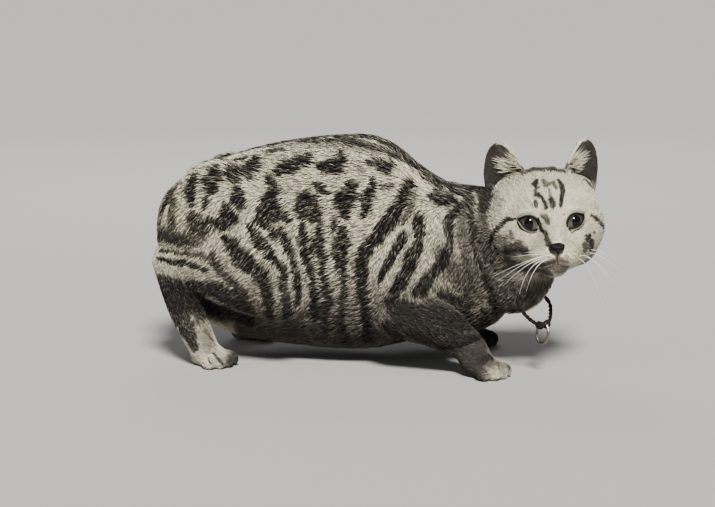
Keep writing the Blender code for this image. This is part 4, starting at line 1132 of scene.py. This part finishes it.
def eye_material():
    """Iris fibres round an upright oval pupil. The mesh carries each point's place on the iris."""
    graph = Graph("eye_wet", roughness=0.05, specular=0.28)
    layer = graph.node("Attribute", attribute_name="iris")
    parts = graph.node("SeparateXYZ", {"Vector": layer.outputs["Vector"]})
    across, up = parts.outputs[0], parts.outputs[1]
    radius = graph.node("VectorMath", {0: layer.outputs["Vector"]}, operation="LENGTH").outputs["Value"]
    angle = graph.maths("ARCTAN2", up, across)
    round_it = graph.maths("MULTIPLY", angle, FIBRES_ROUND)
    outwards = graph.maths("MULTIPLY", radius, FIBRES_OUT)
    spokes = graph.node("CombineXYZ", {"X": round_it, "Y": outwards}).outputs[0]
    tint = graph.mix(graph.maths("MULTIPLY", radius, 1.0, clamp=True), IRIS_INNER, IRIS_OUTER)
    fibrous = graph.mix(graph.noise(FIBRE_SCALE, 5.0, spokes), toned(IRIS_OUTER, FIBRE_DARK), tint)
    shaded = graph.mix(graph.step(up, *LID_SHADE, 0.0, LID_SHADE_SHARE), fibrous, LIMBUS)
    rimmed = graph.mix(graph.step(radius, *IRIS_RIM, 0.0, 1.0), shaded, LIMBUS)
    wide = graph.maths("DIVIDE", across, PUPIL_SIZE[0])
    high = graph.maths("DIVIDE", up, PUPIL_SIZE[1])
    oval = graph.maths("ADD", graph.maths("MULTIPLY", wide, wide), graph.maths("MULTIPLY", high, high))
    graph.colour(graph.mix(graph.step(oval, *PUPIL_EDGE, 1.0, 0.0), rimmed, PUPIL))
    return graph.material


def gaze(side):
    """An eye's frame: +X along its gaze, +Y level and +Z up across it."""
    out = math.radians(EYE_OUT_DEG)
    axis = Vector((math.cos(out), side * math.sin(out), GAZE_LIFT)).normalized()
    level = Vector((0, 0, 1)).cross(axis).normalized()
    turn = Matrix((axis, level, axis.cross(level))).transposed().to_4x4()
    return Matrix.Translation(EYES[side]) @ HEAD.to_quaternion().to_matrix().to_4x4() @ turn


def ring_faces(rings, around, closed=False):
    """Triangles between rings of points that follow one another, and from the last to the first if closed."""
    faces = []
    for i in range(rings if closed else rings - 1):
        j = (i + 1) % rings
        for k in range(around):
            a, b = i * around + k, i * around + (k + 1) % around
            c, d = j * around + k, j * around + (k + 1) % around
            faces += [(a, b, d), (a, d, c)]
    return np.array(faces)


def make_eye(side, finish):
    """An eyeball turned about its gaze, with the bulge of the cornea."""
    frame_at = gaze(side)
    points, places = [], []
    for i in range(EYE_RINGS + 1):
        polar = math.pi * (i / EYE_RINGS) ** EYE_RING_GROWTH
        bulge = max(0.0, 1 - (math.degrees(polar) / CORNEA_ANGLE_DEG) ** 2)
        radius = EYE_RADIUS + CORNEA_BULGE * bulge * bulge * (3 - 2 * bulge)
        for k in range(EYE_SPOKES):
            turn = 2 * math.pi * k / EYE_SPOKES
            sideways, height = math.sin(polar) * math.cos(turn), math.sin(polar) * math.sin(turn)
            points.append(frame_at @ Vector((radius * math.cos(polar), radius * sideways, radius * height)))
            out = math.degrees(polar) / IRIS_ANGLE_DEG
            places.append((out * math.cos(turn), out * math.sin(turn), 0.0))
    name = "eyeball_left" if side > 0 else "eyeball_right"
    obj = mesh_from(name, rows(points), ring_faces(EYE_RINGS + 1, EYE_SPOKES)[:, ::-1])
    layer = obj.data.attributes.new("iris", "FLOAT_VECTOR", "POINT")
    layer.data.foreach_set("vector", np.array(places, np.float32).ravel())
    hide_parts("eye_left" if side > 0 else "eye_right")
    return dressed(obj, finish)


def tube(path, radii, sides=8, closed=False):
    """The points and triangles of a round tube along a path, with a radius at each of its points."""
    path = [Vector(point) for point in path]
    count = len(path)
    points = []
    side = None
    for i, point in enumerate(path):
        before = path[i - 1] if closed or i else point
        after = path[(i + 1) % count] if closed or i < count - 1 else point
        along = (after - before).normalized()
        if side is None:
            side = along.orthogonal().normalized()
        side = (side - along * side.dot(along)).normalized()
        up = along.cross(side)
        for k in range(sides):
            a = 2 * math.pi * k / sides
            points.append(point + (side * math.cos(a) + up * math.sin(a)) * radii[i])
    return rows(points), ring_faces(count, sides, closed)


def joined_mesh(name, parts):
    """One object of several lots of points and triangles."""
    points, faces, first = [], [], 0
    for part_points, part_faces in parts:
        points.append(part_points)
        faces.append(part_faces + first)
        first += len(part_points)
    return mesh_from(name, np.vstack(points), np.vstack(faces))


# The lids' openings in the photo's pixels, from the outer corner over the upper lid and back.
EYE_OUTLINES = {
    -1: [
        (518.6, 219.3), (521.8, 218.2), (526.3, 217.0), (530.8, 217.0), (534.4, 218.6), (536.8, 221.6),
        (538.3, 225.0), (539.6, 228.6), (536.8, 229.2), (533.0, 229.6), (528.8, 228.6), (524.8, 226.0),
        (521.4, 222.6),
    ],
    1: [
        (583.4, 215.2), (580.0, 214.5), (575.6, 214.3), (572.0, 215.6), (569.6, 218.4), (568.2, 222.1),
        (567.2, 228.9), (571.0, 227.8), (575.6, 226.4), (579.6, 224.1), (582.3, 220.2),
    ],
}
EYE_MIDDLES = {-1: (529.8, 222.8), 1: (575.3, 221.5)}
EYE_REACH_PIXELS = 12.8
INNER_CORNER = {-1: 7, 1: 6}
LID_POINTS = 72
# The lid from its wet edge out: the distance from the eye's middle, the turn outwards in degrees, how dark.
LID_PROFILE = [
    (0.01085, 0.0, 1.0), (0.01150, 0.0, 1.0), (0.01205, 1.2, 1.0), (0.01238, 4.0, 1.0), (0.01248, 8.0, 0.9),
    (0.01242, 12.0, 0.10), (0.01215, 22.0, 0.0), (0.01160, 33.0, 0.0), (0.01060, 43.0, 0.0),
    (0.00940, 52.0, 0.0),
]
# The distance from an eye's middle at which its outline's rays end.
LID_EDGE_RADIUS = 0.0117
# The skin near an eye goes under the lids up to so many degrees outside the opening, less over the last of
# them, and less between the two distances of LID_FADE from the eye's middle.
LID_NEAR, LID_REACH_DEG, LID_REACH_EASE_DEG = 0.022, 19.0, 8.0
LID_FADE = (0.0180, 0.0150)
# How far the lids lie over the pushed skin, how deep their outer rows go under the skin, how far out they
# may reach, between which turns they begin to follow the skin, and from how far out it is looked for.
LID_COVER, LID_SINK, LID_CAP = 0.0007, 0.0012, 0.0150
LID_FOLLOW_DEG, LID_START = (9.0, 20.0), 0.0095
# The row of the profile that shows which way the sheet faces, and the first row that grows tufts.
LID_CHECK_ROW, LID_FIRST_TUFT_ROW = 6, 4
LID_COAT = (0.0, 0.0030, 0.00040, 0.0008)
LID_TUFTS = 2600
LID_LIE_FROM_NOSE = 0.6
LID_TONE = 0.5


def eye_outline(side):
    """The lid opening's outline as directions from the eye's middle, cast from the photo's pixels."""
    middle = EYE_MIDDLES[side]
    start = CAMERA.matrix_world.translation - EYES[side]
    outline = []
    for pixel in EYE_OUTLINES[side]:
        pull = min(1.0, EYE_REACH_PIXELS / math.dist(pixel, middle))
        way = pixel_way([m + (p - m) * pull for p, m in zip(pixel, middle)])
        along = start.dot(way)
        inside = along * along - start.length_squared + LID_EDGE_RADIUS**2
        outline.append((start - way * (along + math.sqrt(max(inside, 0.0)))).normalized())
    return eased_outline(outline, (0, INNER_CORNER[side]))


def eased_outline(outline, sharp):
    """More points along a closed outline of directions, on a curve that keeps two corners sharp."""
    made = []
    first, second = sharp
    for start, end in ((first, second), (second, len(outline))):
        run = [outline[k % len(outline)] for k in range(start, end + 1)]
        known = rows([run[0] * 2 - run[1], *run, run[-1] * 2 - run[-2]])
        for k in range(LID_POINTS // 2):
            place = k / (LID_POINTS // 2) * (len(run) - 1)
            i, t = int(place), place - int(place)
            a, b, c, d = known[i : i + 4]
            bend = (2 * a - 5 * b + 4 * c - d) * t**2 + (3 * b - a - 3 * c + d) * t**3
            made.append(Vector(0.5 * (2 * b + (c - a) * t + bend)).normalized())
    return made


def around_eye(points, side):
    """For points near an eye: their distance from its middle, and their degrees outside its opening."""
    outline = rows(eye_outline(side))
    middle = unit(outline.sum(axis=0, keepdims=True))[0]
    side_way = unit(np.cross(middle, (0, 0, 1))[None])[0]
    up_way = np.cross(side_way, middle)

    def polar(ways):
        turn = np.arctan2(ways @ up_way, ways @ side_way)
        return turn, np.degrees(np.arccos(np.clip(ways @ middle, -1, 1)))

    turns, reach = polar(outline)
    order = np.argsort(turns)
    away = points - np.array(EYES[side])
    gap = np.linalg.norm(away, axis=1)
    turn, off = polar(away / gap[:, None])
    return gap, off - np.interp(turn, turns[order], reach[order], period=2 * math.pi)


def under_lids(points):
    """The skin's points, with those round the eyes pushed under the lids."""
    pushed = points.copy()
    radii, turns, _ = zip(*LID_PROFILE)
    for side, centre in EYES.items():
        gap, outside = around_eye(points, side)
        near = (gap < LID_NEAR) & (outside < LID_REACH_DEG)
        lid = np.interp(outside, turns, radii) - LID_COVER
        share = near * ramp(LID_REACH_DEG, LID_REACH_DEG - LID_REACH_EASE_DEG, outside) * (gap > lid)
        share = share * ramp(*LID_FADE, gap)
        pushed += (points - np.array(centre)) * (share * (lid / gap - 1))[:, None]
    return pushed


def make_lids(side, surface, strokes, finish):
    """Both lids of an eye as one sheet round its opening: thick dark edges, then coat under the skin.

    Returns the sheet's points and triangles, with how dark and how grey each point is.
    """
    centre = EYES[side]
    outline = eye_outline(side)
    middle = sum(outline, Vector()).normalized()
    points, dark = [], []
    for radius, turn, darkness in LID_PROFILE:
        for way in outline:
            axis = middle.cross(way).normalized()
            ahead = Matrix.Rotation(math.radians(turn), 3, axis) @ way
            skin_hit = surface.ray_cast(centre + ahead * LID_START, ahead)[0]
            skin_radius = (skin_hit - centre).length if skin_hit else radius
            follow = float(ramp(*LID_FOLLOW_DEG, turn))
            reach = radius + follow * (min(skin_radius, LID_CAP) - LID_SINK * follow - radius)
            points.append(centre + ahead * reach)
            dark.append(darkness)
    points, faces = rows(points), ring_faces(len(LID_PROFILE), len(outline))
    if (normals_of(points, faces)[LID_CHECK_ROW * len(outline)] @ np.array(middle)) < 0:
        faces = faces[:, ::-1]
    obj = mesh_from("lids_left" if side > 0 else "lids_right", points, faces)
    colours = np.zeros((len(points), 4))
    colours[:, :2] = painted(points, strokes)
    colours[:, 0] = np.maximum(colours[:, 0], dark)
    colours[:, 3] = LID_TONE
    add_colours(obj, colours)
    dressed(obj, finish)
    return points, faces, colours[:, :2]


def lid_roots(points, faces):
    """Where the lids' own short tufts grow: outside the dark edge, and away from the eye."""
    row = np.arange(len(points)) // LID_POINTS
    coat = np.broadcast_to(np.array(LID_COAT), (len(points), 4))
    lie = unit(points - points[row == 1].mean(axis=0)) + from_nose(points) * LID_LIE_FROM_NOSE
    kept = row[faces].min(axis=1) >= LID_FIRST_TUFT_ROW
    return drawn_roots(points, faces[kept], coat, lie, np.zeros(len(points)), LID_TUFTS, 0.0)


# The lips' line and the furrow above it, in the head's frame: how far out, and how high.
MOUTH_LINE = [(0.0, -0.0300), (0.0050, -0.0335), (0.0105, -0.0338), (0.0160, -0.0322), (0.0200, -0.0300)]
PHILTRUM = [(0.0, -0.0240), (0.0, -0.0300)]
MOUTH_RADIUS = 0.00075
MOUTH_PLACES = 22
# How thin the line's ends are, and how soon it is full.
MOUTH_END, MOUTH_FULLNESS = 0.12, 0.4
IN_FRONT = 0.09


def on_face(surface, out, height):
    """Where the face is, straight back from in front of a place of the head's frame."""
    start = HEAD @ Vector((IN_FRONT, out, height))
    return surface.ray_cast(start, HEAD.to_3x3() @ Vector((-1, 0, 0)))[0]


def make_mouth(surface, finish):
    """The dark line of the lips and the furrow up to the nose, sunk half its thickness in the skin."""
    parts = []
    for line, sides in ((PHILTRUM, (1,)), (MOUTH_LINE, (-1, 1))):
        for side in sides:
            path = eased_path(rows(on_face(surface, side * y, z) for y, z in spread(line, MOUTH_PLACES)))
            ends = np.sin(np.linspace(MOUTH_END, math.pi - MOUTH_END, len(path))) ** MOUTH_FULLNESS
            parts.append(tube(path, MOUTH_RADIUS * ends))
    return dressed(joined_mesh("lip_line", parts), finish)


def spread(line, count):
    """So many places evenly along a line of a few places."""
    known = np.array(line)
    steps = np.concatenate([[0], np.cumsum(np.linalg.norm(np.diff(known, axis=0), axis=1))])
    even = np.linspace(0, steps[-1], count)
    return np.stack([np.interp(even, steps, known[:, k]) for k in range(known.shape[1])], axis=1)


def eased_path(path, rounds=4):
    for _ in range(rounds):
        path[1:-1] += 0.5 * ((path[:-2] + path[2:]) / 2 - path[1:-1])
    return path


NOSE_VOXEL, NOSE_SMOOTHING, NOSE_SWELL = 0.00035, 4, 0.00025
# The nose's height is drawn in by this much, and its width at its foot.
NOSE_SQUAT, NOSE_FOOT = 0.74, 0.36
# How far the upper corners stand above the middle, from and to which share of the half width they rise, by
# how much the middle drops, and over which share of the height this and the width come in.
NOSE_WINGS, NOSE_WINGS_OUT, NOSE_DIP, NOSE_WINGS_HEIGHT = 0.0013, (0.3, 1.0), 0.4, (0.35, 0.9)
NOSE_FOOT_HEIGHT = (0.0, 0.85)
# Whiskers: root, middle and tip in the photo's pixels, and how far the tip stands nearer the camera.
WHISKERS = [
    ((553, 257), (533, 259), (492, 277), 0.009),
    ((551, 259), (531, 263), (503, 286), 0.009),
    ((549, 260), (531, 268), (519, 295), 0.008),
    ((550, 256), (536, 254.5), (512, 257), 0.009),
    ((546, 260), (535, 270), (526, 292), 0.008),
    ((546, 254), (538, 252), (524, 253), 0.008),
    ((548, 258), (528, 262), (497, 282), 0.011),
    ((581, 253), (600, 256), (622, 272), -0.018),
    ((579, 256), (593, 260), (608, 280), -0.012),
    ((580, 257), (597, 263), (616, 287), -0.014),
    ((578, 259), (589, 270), (603, 304), -0.006),
    ((581, 250), (598, 251), (618, 261), -0.018),
]
BROW_WHISKERS = [
    ((534, 210), (531, 198), (522, 184), 0.004),
    ((530, 211), (525, 202), (515, 192), 0.004),
    ((573, 209), (577, 199), (586, 188), 0.002),
]
# A whisker: its radius, how deep its root is, how much of its radius it loses and how late, how many places
# it has, and the share of its tip's stand that its middle has.
WHISKER_RADIUS, WHISKER_ROOT = 0.00027, 0.0006
WHISKER_THINNING, WHISKER_TAPER, WHISKER_PLACES = 0.9, 1.3, 19
WHISKER_MIDDLE_STAND = 0.62


def make_whisker(root_pixel, middle_pixel, tip_pixel, stand, surface):
    """A whisker from the skin through its places in the photo, bent towards or away from the camera."""
    eye = CAMERA.matrix_world.translation
    root = cast(surface, root_pixel)
    depth = (root - eye).length
    middle = eye + pixel_way(middle_pixel) * (depth - stand * WHISKER_MIDDLE_STAND)
    tip = eye + pixel_way(tip_pixel) * (depth - stand)
    bend = middle * 2 - (root + tip) / 2
    shares = np.linspace(0, 1, WHISKER_PLACES)
    path = [root * (1 - t) ** 2 + bend * 2 * t * (1 - t) + tip * t * t for t in shares]
    path[0] -= (path[1] - path[0]).normalized() * WHISKER_ROOT
    return tube(path, WHISKER_RADIUS * (1 - WHISKER_THINNING * shares**WHISKER_TAPER), 6)


def make_whiskers(surface, finish):
    made = [make_whisker(*places, surface) for places in WHISKERS + BROW_WHISKERS]
    return dressed(joined_mesh("whiskers", made), finish)


def squat(points):
    """The nose's points shaped to a flat-topped triangle, as seen from in front."""
    local = in_head(points)
    low, high = local[:, 2].min(), local[:, 2].max()
    height = (local[:, 2] - low) / (high - low)
    local[:, 1] *= NOSE_FOOT + (1 - NOSE_FOOT) * ramp(*NOSE_FOOT_HEIGHT, height)
    local[:, 2] = high - (high - local[:, 2]) * NOSE_SQUAT
    out = abs(local[:, 1]) / abs(local[:, 1]).max()
    local[:, 2] += NOSE_WINGS * (ramp(*NOSE_WINGS_OUT, out) - NOSE_DIP) * ramp(*NOSE_WINGS_HEIGHT, height)
    turn = np.array(HEAD)
    return local @ turn[:3, :3].T + turn[:3, 3]


def make_nose(finish):
    """The bare nose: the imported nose, rounded of its facets."""
    raw = mesh_from("nose_raw", *arrays_of(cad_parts["nose"].data))
    points, triangles = arrays_of(fused(raw, NOSE_VOXEL))
    points = eased(points, edges_of(triangles), NOSE_SMOOTHING)
    points += normals_of(points, triangles) * NOSE_SWELL
    made = mesh_from("nose_leather", squat(points), triangles)
    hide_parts("nose")
    return dressed(made, finish)


# The ear as in the solids: which way its cup faces (ahead and out), its foot, its height, and how it leans.
EAR_FACING, EAR_FACING_LENGTH = (0.78, 0.55), 0.955
EAR_FOOT = (-0.036, 0.0305, 0.021)
EAR_HEIGHT, EAR_HALF_WIDTH = 0.043, 0.0195
EAR_LEAN = (0.06, 0.26)
# Its outline: how pointed it is, and the least share of the width that the tip keeps.
EAR_POINT, EAR_LEAST = 1.75, 0.02
# Its colours and the painted shade in its cup, as ramps of the place across it, the height up it and how much
# a point faces the cup.
EAR_RIM_ACROSS, EAR_TIP_HEIGHT, EAR_TIP_ACROSS = (0.80, 0.92), (0.93, 0.98), (-0.4, 0.2)
EAR_CUP_FACING, EAR_CUP_HEIGHT, EAR_BACK_FACING = (0.05, 0.40), (0.02, 0.16), (0.05, -0.35)
EAR_DEEP_ACROSS, EAR_CUP_SHADE, EAR_DEEP_SHADE, EAR_BACK_GREY = (0.3, -0.5), 0.55, 0.3, 0.85
# The long hair in its cup: where it grows, which way it lies (ahead, out and up), and its coat.
EAR_HAIR_ACROSS, EAR_HAIR_HEIGHT, EAR_HAIR_FACING = (-0.003, 0.003), (0.74, 0.60), (-0.2, 0.1)
EAR_HAIR_SHARE, EAR_HAIR_LIE = 0.4, (-0.25, 0.95, 0.12)
EAR_TUFTS = 300
EAR_HAIR = (0.0, 0.0135, 0.00038, 0.0026)


def ear_places(points, normals):
    """For the skin's points: the ear's side, how much they face its cup, the height and the place across."""
    local = in_head(points)
    turned = normals @ HEAD_TO_LOCAL[:3, :3].T
    side = np.where(local[:, 1] > 0, 1.0, -1.0)
    facing = turned[:, 0] * EAR_FACING[0] + turned[:, 1] * side * EAR_FACING[1]
    rise = local[:, 2] - EAR_FOOT[2]
    ahead = local[:, 0] - EAR_FOOT[0] + EAR_LEAN[0] * rise
    out = local[:, 1] * side - EAR_FOOT[1] - EAR_LEAN[1] * rise
    across = ahead * EAR_FACING[1] - out * EAR_FACING[0]
    return side, facing / EAR_FACING_LENGTH, rise / EAR_HEIGHT, across


def ear_colours(points, triangles, is_ear):
    """Marks and washes of the ears: painted shade in the cup, darker deeper in, pale at the inner rim and the
    tip, and grey behind.
    """
    _, facing, height, across = ear_places(points, normals_of(points, triangles))
    half = EAR_HALF_WIDTH * np.sqrt(np.maximum(1 - np.clip(height, 0, 1) ** EAR_POINT, EAR_LEAST))
    tip = ramp(*EAR_TIP_HEIGHT, height) * ramp(*EAR_TIP_ACROSS, across / half)
    rim = np.maximum(ramp(*EAR_RIM_ACROSS, across / half), tip)
    inside = ramp(*EAR_CUP_FACING, facing) * ramp(*EAR_CUP_HEIGHT, height) * (1 - rim)
    behind = ramp(*EAR_BACK_FACING, facing)
    # Painted shade in the cup, darker deeper in.
    mark = inside * (EAR_CUP_SHADE + EAR_DEEP_SHADE * ramp(*EAR_DEEP_ACROSS, across / half))
    wash = np.maximum(EAR_BACK_GREY * behind, inside)
    return np.stack([is_ear * mark, is_ear * wash], axis=1)


def ear_roots(points, triangles, is_ear):
    """Roots of the long pale hair that crosses the ear's cup from its inner edge."""
    side, facing, height, across = ear_places(points, normals_of(points, triangles))
    grown = ramp(*EAR_HAIR_ACROSS, across) * ramp(*EAR_HAIR_HEIGHT, height) * is_ear
    kept = (grown * ramp(*EAR_HAIR_FACING, facing))[triangles].mean(axis=1) > EAR_HAIR_SHARE
    outwards = np.array(EAR_HAIR_LIE) * np.stack([np.ones_like(side), side, np.ones_like(side)], axis=1)
    lie = unit(outwards @ np.array(HEAD.to_3x3()).T)
    coat = np.broadcast_to(np.array(EAR_HAIR), (len(points), 4))
    return drawn_roots(points, triangles[kept], coat, lie, np.zeros(len(points)), EAR_TUFTS)


# The cord: its strands, their radius, how far they lie from its middle line, and the length of one turn.
CORD_STRANDS = 2
STRAND_RADIUS, STRAND_OFFSET, STRAND_TURN = 0.00105, 0.00085, 0.0075
# Its route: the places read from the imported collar, the step of its points, and the first smoothing.
CORD_PLACES, CORD_STEP, CORD_SMOOTHING = 42, 0.0012, 12
# How high over the skin it lies under the coat (below 0 is in the skin), and where it is drawn there.
CORD_SEAT, CORD_NEAR = -0.0034, (0.0085, 0.0055)
# Each time that it is drawn in: how much its closeness to the neck counts, and the rounds of smoothing.
CORD_DRAWS = ((1.0, 16), (0.0, 6), (0.0, 3), (0.0, 2))
# Above these heights it is drawn in all the same.
CORD_FREE_BELOW = (0.058, 0.070)
# A whipping: the radius of its coil and of its thread, its turns and their places, how many of the cord's
# points it is from the ring, and half its length.
WHIPPING_RADIUS, WHIPPING_THREAD = 0.0025, 0.0009
WHIPPING_TURNS, WHIPPING_PLACES = 3.4, 70
WHIPPING_SHIFTS, WHIPPING_HALF = (-4, 4), 0.0024


def loop_route(points, count):
    """The middle line of a closed loop, by the means of its points in equal turns round its middle."""
    middle = points.mean(axis=0)
    _, _, axes = np.linalg.svd(points - middle, full_matrices=False)
    flat = (points - middle) @ axes[:2].T
    turn = (np.arctan2(flat[:, 1], flat[:, 0]) / (2 * math.pi) * count).round().astype(int) % count
    return np.array([points[turn == k].mean(axis=0) for k in range(count) if np.any(turn == k)])


def even_loop(route, step):
    """Points a step apart along a closed loop."""
    closed = np.vstack([route, route[:1]])
    runs = np.concatenate([[0], np.cumsum(np.linalg.norm(np.diff(closed, axis=0), axis=1))])
    even = np.linspace(0, runs[-1], int(runs[-1] / step), endpoint=False)
    return np.stack([np.interp(even, runs, closed[:, k]) for k in range(3)], axis=1)


def smooth_loop(route, rounds):
    for _ in range(rounds):
        route = route + 0.5 * ((np.roll(route, 1, axis=0) + np.roll(route, -1, axis=0)) / 2 - route)
    return route


def collar_path(surface):
    """The collar's middle line, drawn in to the skin under the coat where it lies on the neck."""
    points, _ = arrays_of(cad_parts["collar"].data)
    route = smooth_loop(even_loop(loop_route(points, CORD_PLACES), CORD_STEP), CORD_SMOOTHING)
    for near, rounds in CORD_DRAWS:
        drawn = route.copy()
        for i, point in enumerate(route):
            on, normal = surface.find_nearest(Vector(point))[:2]
            gap = (Vector(point) - on).dot(normal)
            rest = np.array(on + normal * CORD_SEAT)
            share = max(near * ramp(*CORD_NEAR, gap), ramp(*CORD_FREE_BELOW, point[2]))
            drawn[i] = point + share * (rest - point)
        route = smooth_loop(drawn, rounds)
    return route


def make_collar(path, finish):
    """A cord of two strands laid round each other, with a whipping each side of the ring."""
    length = np.linalg.norm(path - np.roll(path, 1, axis=0), axis=1).sum()
    turns = round(length / STRAND_TURN)
    count = len(path)
    ahead = unit(np.roll(path, -1, axis=0) - np.roll(path, 1, axis=0))
    side = unit(np.cross(ahead, (0, 0, 1)))
    up = np.cross(side, ahead)
    parts = []
    for strand in range(CORD_STRANDS):
        turn = 2 * math.pi * (np.arange(count) / count * turns + strand / CORD_STRANDS)
        wound = path + STRAND_OFFSET * (side * np.cos(turn)[:, None] + up * np.sin(turn)[:, None])
        parts.append(tube(wound, [STRAND_RADIUS] * count, closed=True))
    lowest = int(np.argmin(path[:, 2]))
    coil = np.linspace(0, WHIPPING_TURNS * 2 * math.pi, WHIPPING_PLACES)[:, None]
    slide = np.linspace(-1, 1, WHIPPING_PLACES)[:, None] * WHIPPING_HALF
    for shift in WHIPPING_SHIFTS:
        at = (lowest + shift) % count
        rings = side[at] * np.cos(coil) + up[at] * np.sin(coil)
        line = path[at] + rings * WHIPPING_RADIUS + slide * ahead[at]
        parts.append(tube(line, [WHIPPING_THREAD] * WHIPPING_PLACES))
    obj = joined_mesh("collar_cord", parts)
    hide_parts("collar")
    return dressed(obj, finish)


def cord_material():
    graph = Graph("cord_leather", roughness=0.80, specular=0.08)
    worn = graph.noise(420.0, 4.0, graph.where())
    graph.colour(graph.mix(worn, (0.005, 0.004, 0.004), (0.020, 0.016, 0.014)))
    graph.bump(graph.noise(2600.0, 2.0, graph.where()), 0.0002, 0.5)
    return graph.material


def ring_material():
    graph = Graph("ring_wire", roughness=0.34, metallic=1.0)
    worn = graph.noise(260.0, 4.0, graph.where())
    graph.colour(graph.mix(worn, (0.16, 0.14, 0.12), (0.34, 0.31, 0.26)))
    graph.bump(worn, 0.0001, 0.4)
    return graph.material


def floor_material():
    graph = Graph("floor", roughness=0.9, specular=0.15)
    graph.colour(graph.mix(graph.noise(3.0), (0.36, 0.352, 0.34), (0.385, 0.376, 0.36)))
    return graph.material


FLOOR_HALF = 60.0
KEY_FROM = (0.20, -0.66, 0.74)
KEY_STRENGTH, KEY_SOFTNESS_DEG, KEY_TINT = 8.4, 14.0, (1.0, 0.97, 0.93)
# The soft lights: place, size, power and tint. They look at LIT_PLACE.
LIT_PLACE = (0.02, 0.0, 0.10)
FILL = ((-1.5, -1.1, 0.7), 1.2, 5.0, (0.94, 0.97, 1.0))
RIM = ((-0.4, 1.4, 1.2), 0.9, 8.0, (1.0, 1.0, 1.0))
SKY, SKY_STRENGTH = (0.80, 0.82, 0.85, 1.0), 0.24


def soft_light(name, place, size, power, tint):
    data = bpy.data.lights.new(name, "AREA")
    data.shape = "DISK"
    data.size = size
    data.energy = power
    data.color = tint
    light = placed(name, data)
    light.location = place
    light.rotation_euler = (Vector(place) - Vector(LIT_PLACE)).to_track_quat("Z", "Y").to_euler()
    light.visible_glossy = False
    return light


def make_studio():
    points = np.array([(-1, -1, 0), (1, -1, 0), (1, 1, 0), (-1, 1, 0)], float) * FLOOR_HALF
    floor = mesh_from("floor", points, np.array([(0, 1, 2), (0, 2, 3)]))
    floor.data.materials.append(floor_material())
    data = bpy.data.lights.new("key", "SUN")
    data.energy = KEY_STRENGTH
    data.angle = math.radians(KEY_SOFTNESS_DEG)
    data.color = KEY_TINT
    key = placed("key", data)
    key.rotation_euler = Vector(KEY_FROM).to_track_quat("Z", "Y").to_euler()
    fill = soft_light("fill", *FILL)
    rim = soft_light("rim", *RIM)
    world = bpy.data.worlds.new("studio")
    world.use_nodes = True
    background = world.node_tree.nodes["Background"]
    background.inputs["Color"].default_value = SKY
    background.inputs["Strength"].default_value = SKY_STRENGTH
    bpy.context.scene.world = world


def make_skin(points, triangles, strokes, layout, ears):
    """The painted skin under the coat, in place of the flesh."""
    skin = mesh_from("under_coat", points, triangles)
    colours = np.zeros((len(points), 4))
    colours[:, :2] = np.maximum(painted(points, strokes), ears)
    colours[:, 3] = 1.0
    add_colours(skin, colours)
    add_map(skin, map_places(points, layout))
    dressed(skin, skin_material())
    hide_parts(*[node.name for node in FLESH_NODES])


def combed_surface(points, triangles, path):
    """The skin and the cord as one search tree, for the coat to lie over both."""
    cord_points, cord_triangles = tube(path, [STRAND_RADIUS + STRAND_OFFSET] * len(path), closed=True)
    return search_tree(np.vstack([points, cord_points]), np.vstack([triangles, cord_triangles + len(points)]))


def make_eyes(surface, strokes, layout, fur):
    """Both eyeballs, with their lids and the lids' short coat."""
    eye_finish, lid_finish = eye_material(), lid_material()
    for side in (-1, 1):
        make_eye(side, eye_finish)
        points, faces, marks = make_lids(side, surface, strokes, lid_finish)
        tree = search_tree(points, faces)
        name = "lid_coat_left" if side > 0 else "lid_coat_right"
        make_coat(name, lid_roots(points, faces), strokes, tree, layout, fur, (tree, faces, marks))


def main():
    points, triangles = fused_skin()
    coat, lie, is_ear = coat_fields(points, triangles)
    bare = under_lids(shrunk(points, triangles, coat[:, 0]))
    surface = search_tree(bare, triangles)
    strokes = stroke_list(surface)
    layout = layout_of(bare, triangles)
    ears = ear_colours(bare, triangles, is_ear)
    make_skin(bare, triangles, strokes, layout, ears)

    fur = coat_material()
    cord_path = collar_path(surface)
    combed = combed_surface(bare, triangles, cord_path)
    roots = drawn_roots(bare, triangles, coat, lie, is_ear, TUFTS)
    make_coat("coat", roots, strokes, combed, layout, fur, (surface, triangles, ears))
    make_coat("ear_hair", ear_roots(bare, triangles, is_ear), [], surface, layout, fur)

    make_eyes(surface, strokes, layout, fur)
    make_mouth(surface, rim_material())
    make_nose(nose_material())
    make_whiskers(surface, whisker_material())
    make_collar(cord_path, cord_material())
    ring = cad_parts["collar_ring"]
    ring.data.materials.clear()
    ring.data.materials.append(ring_material())
    make_studio()


main()
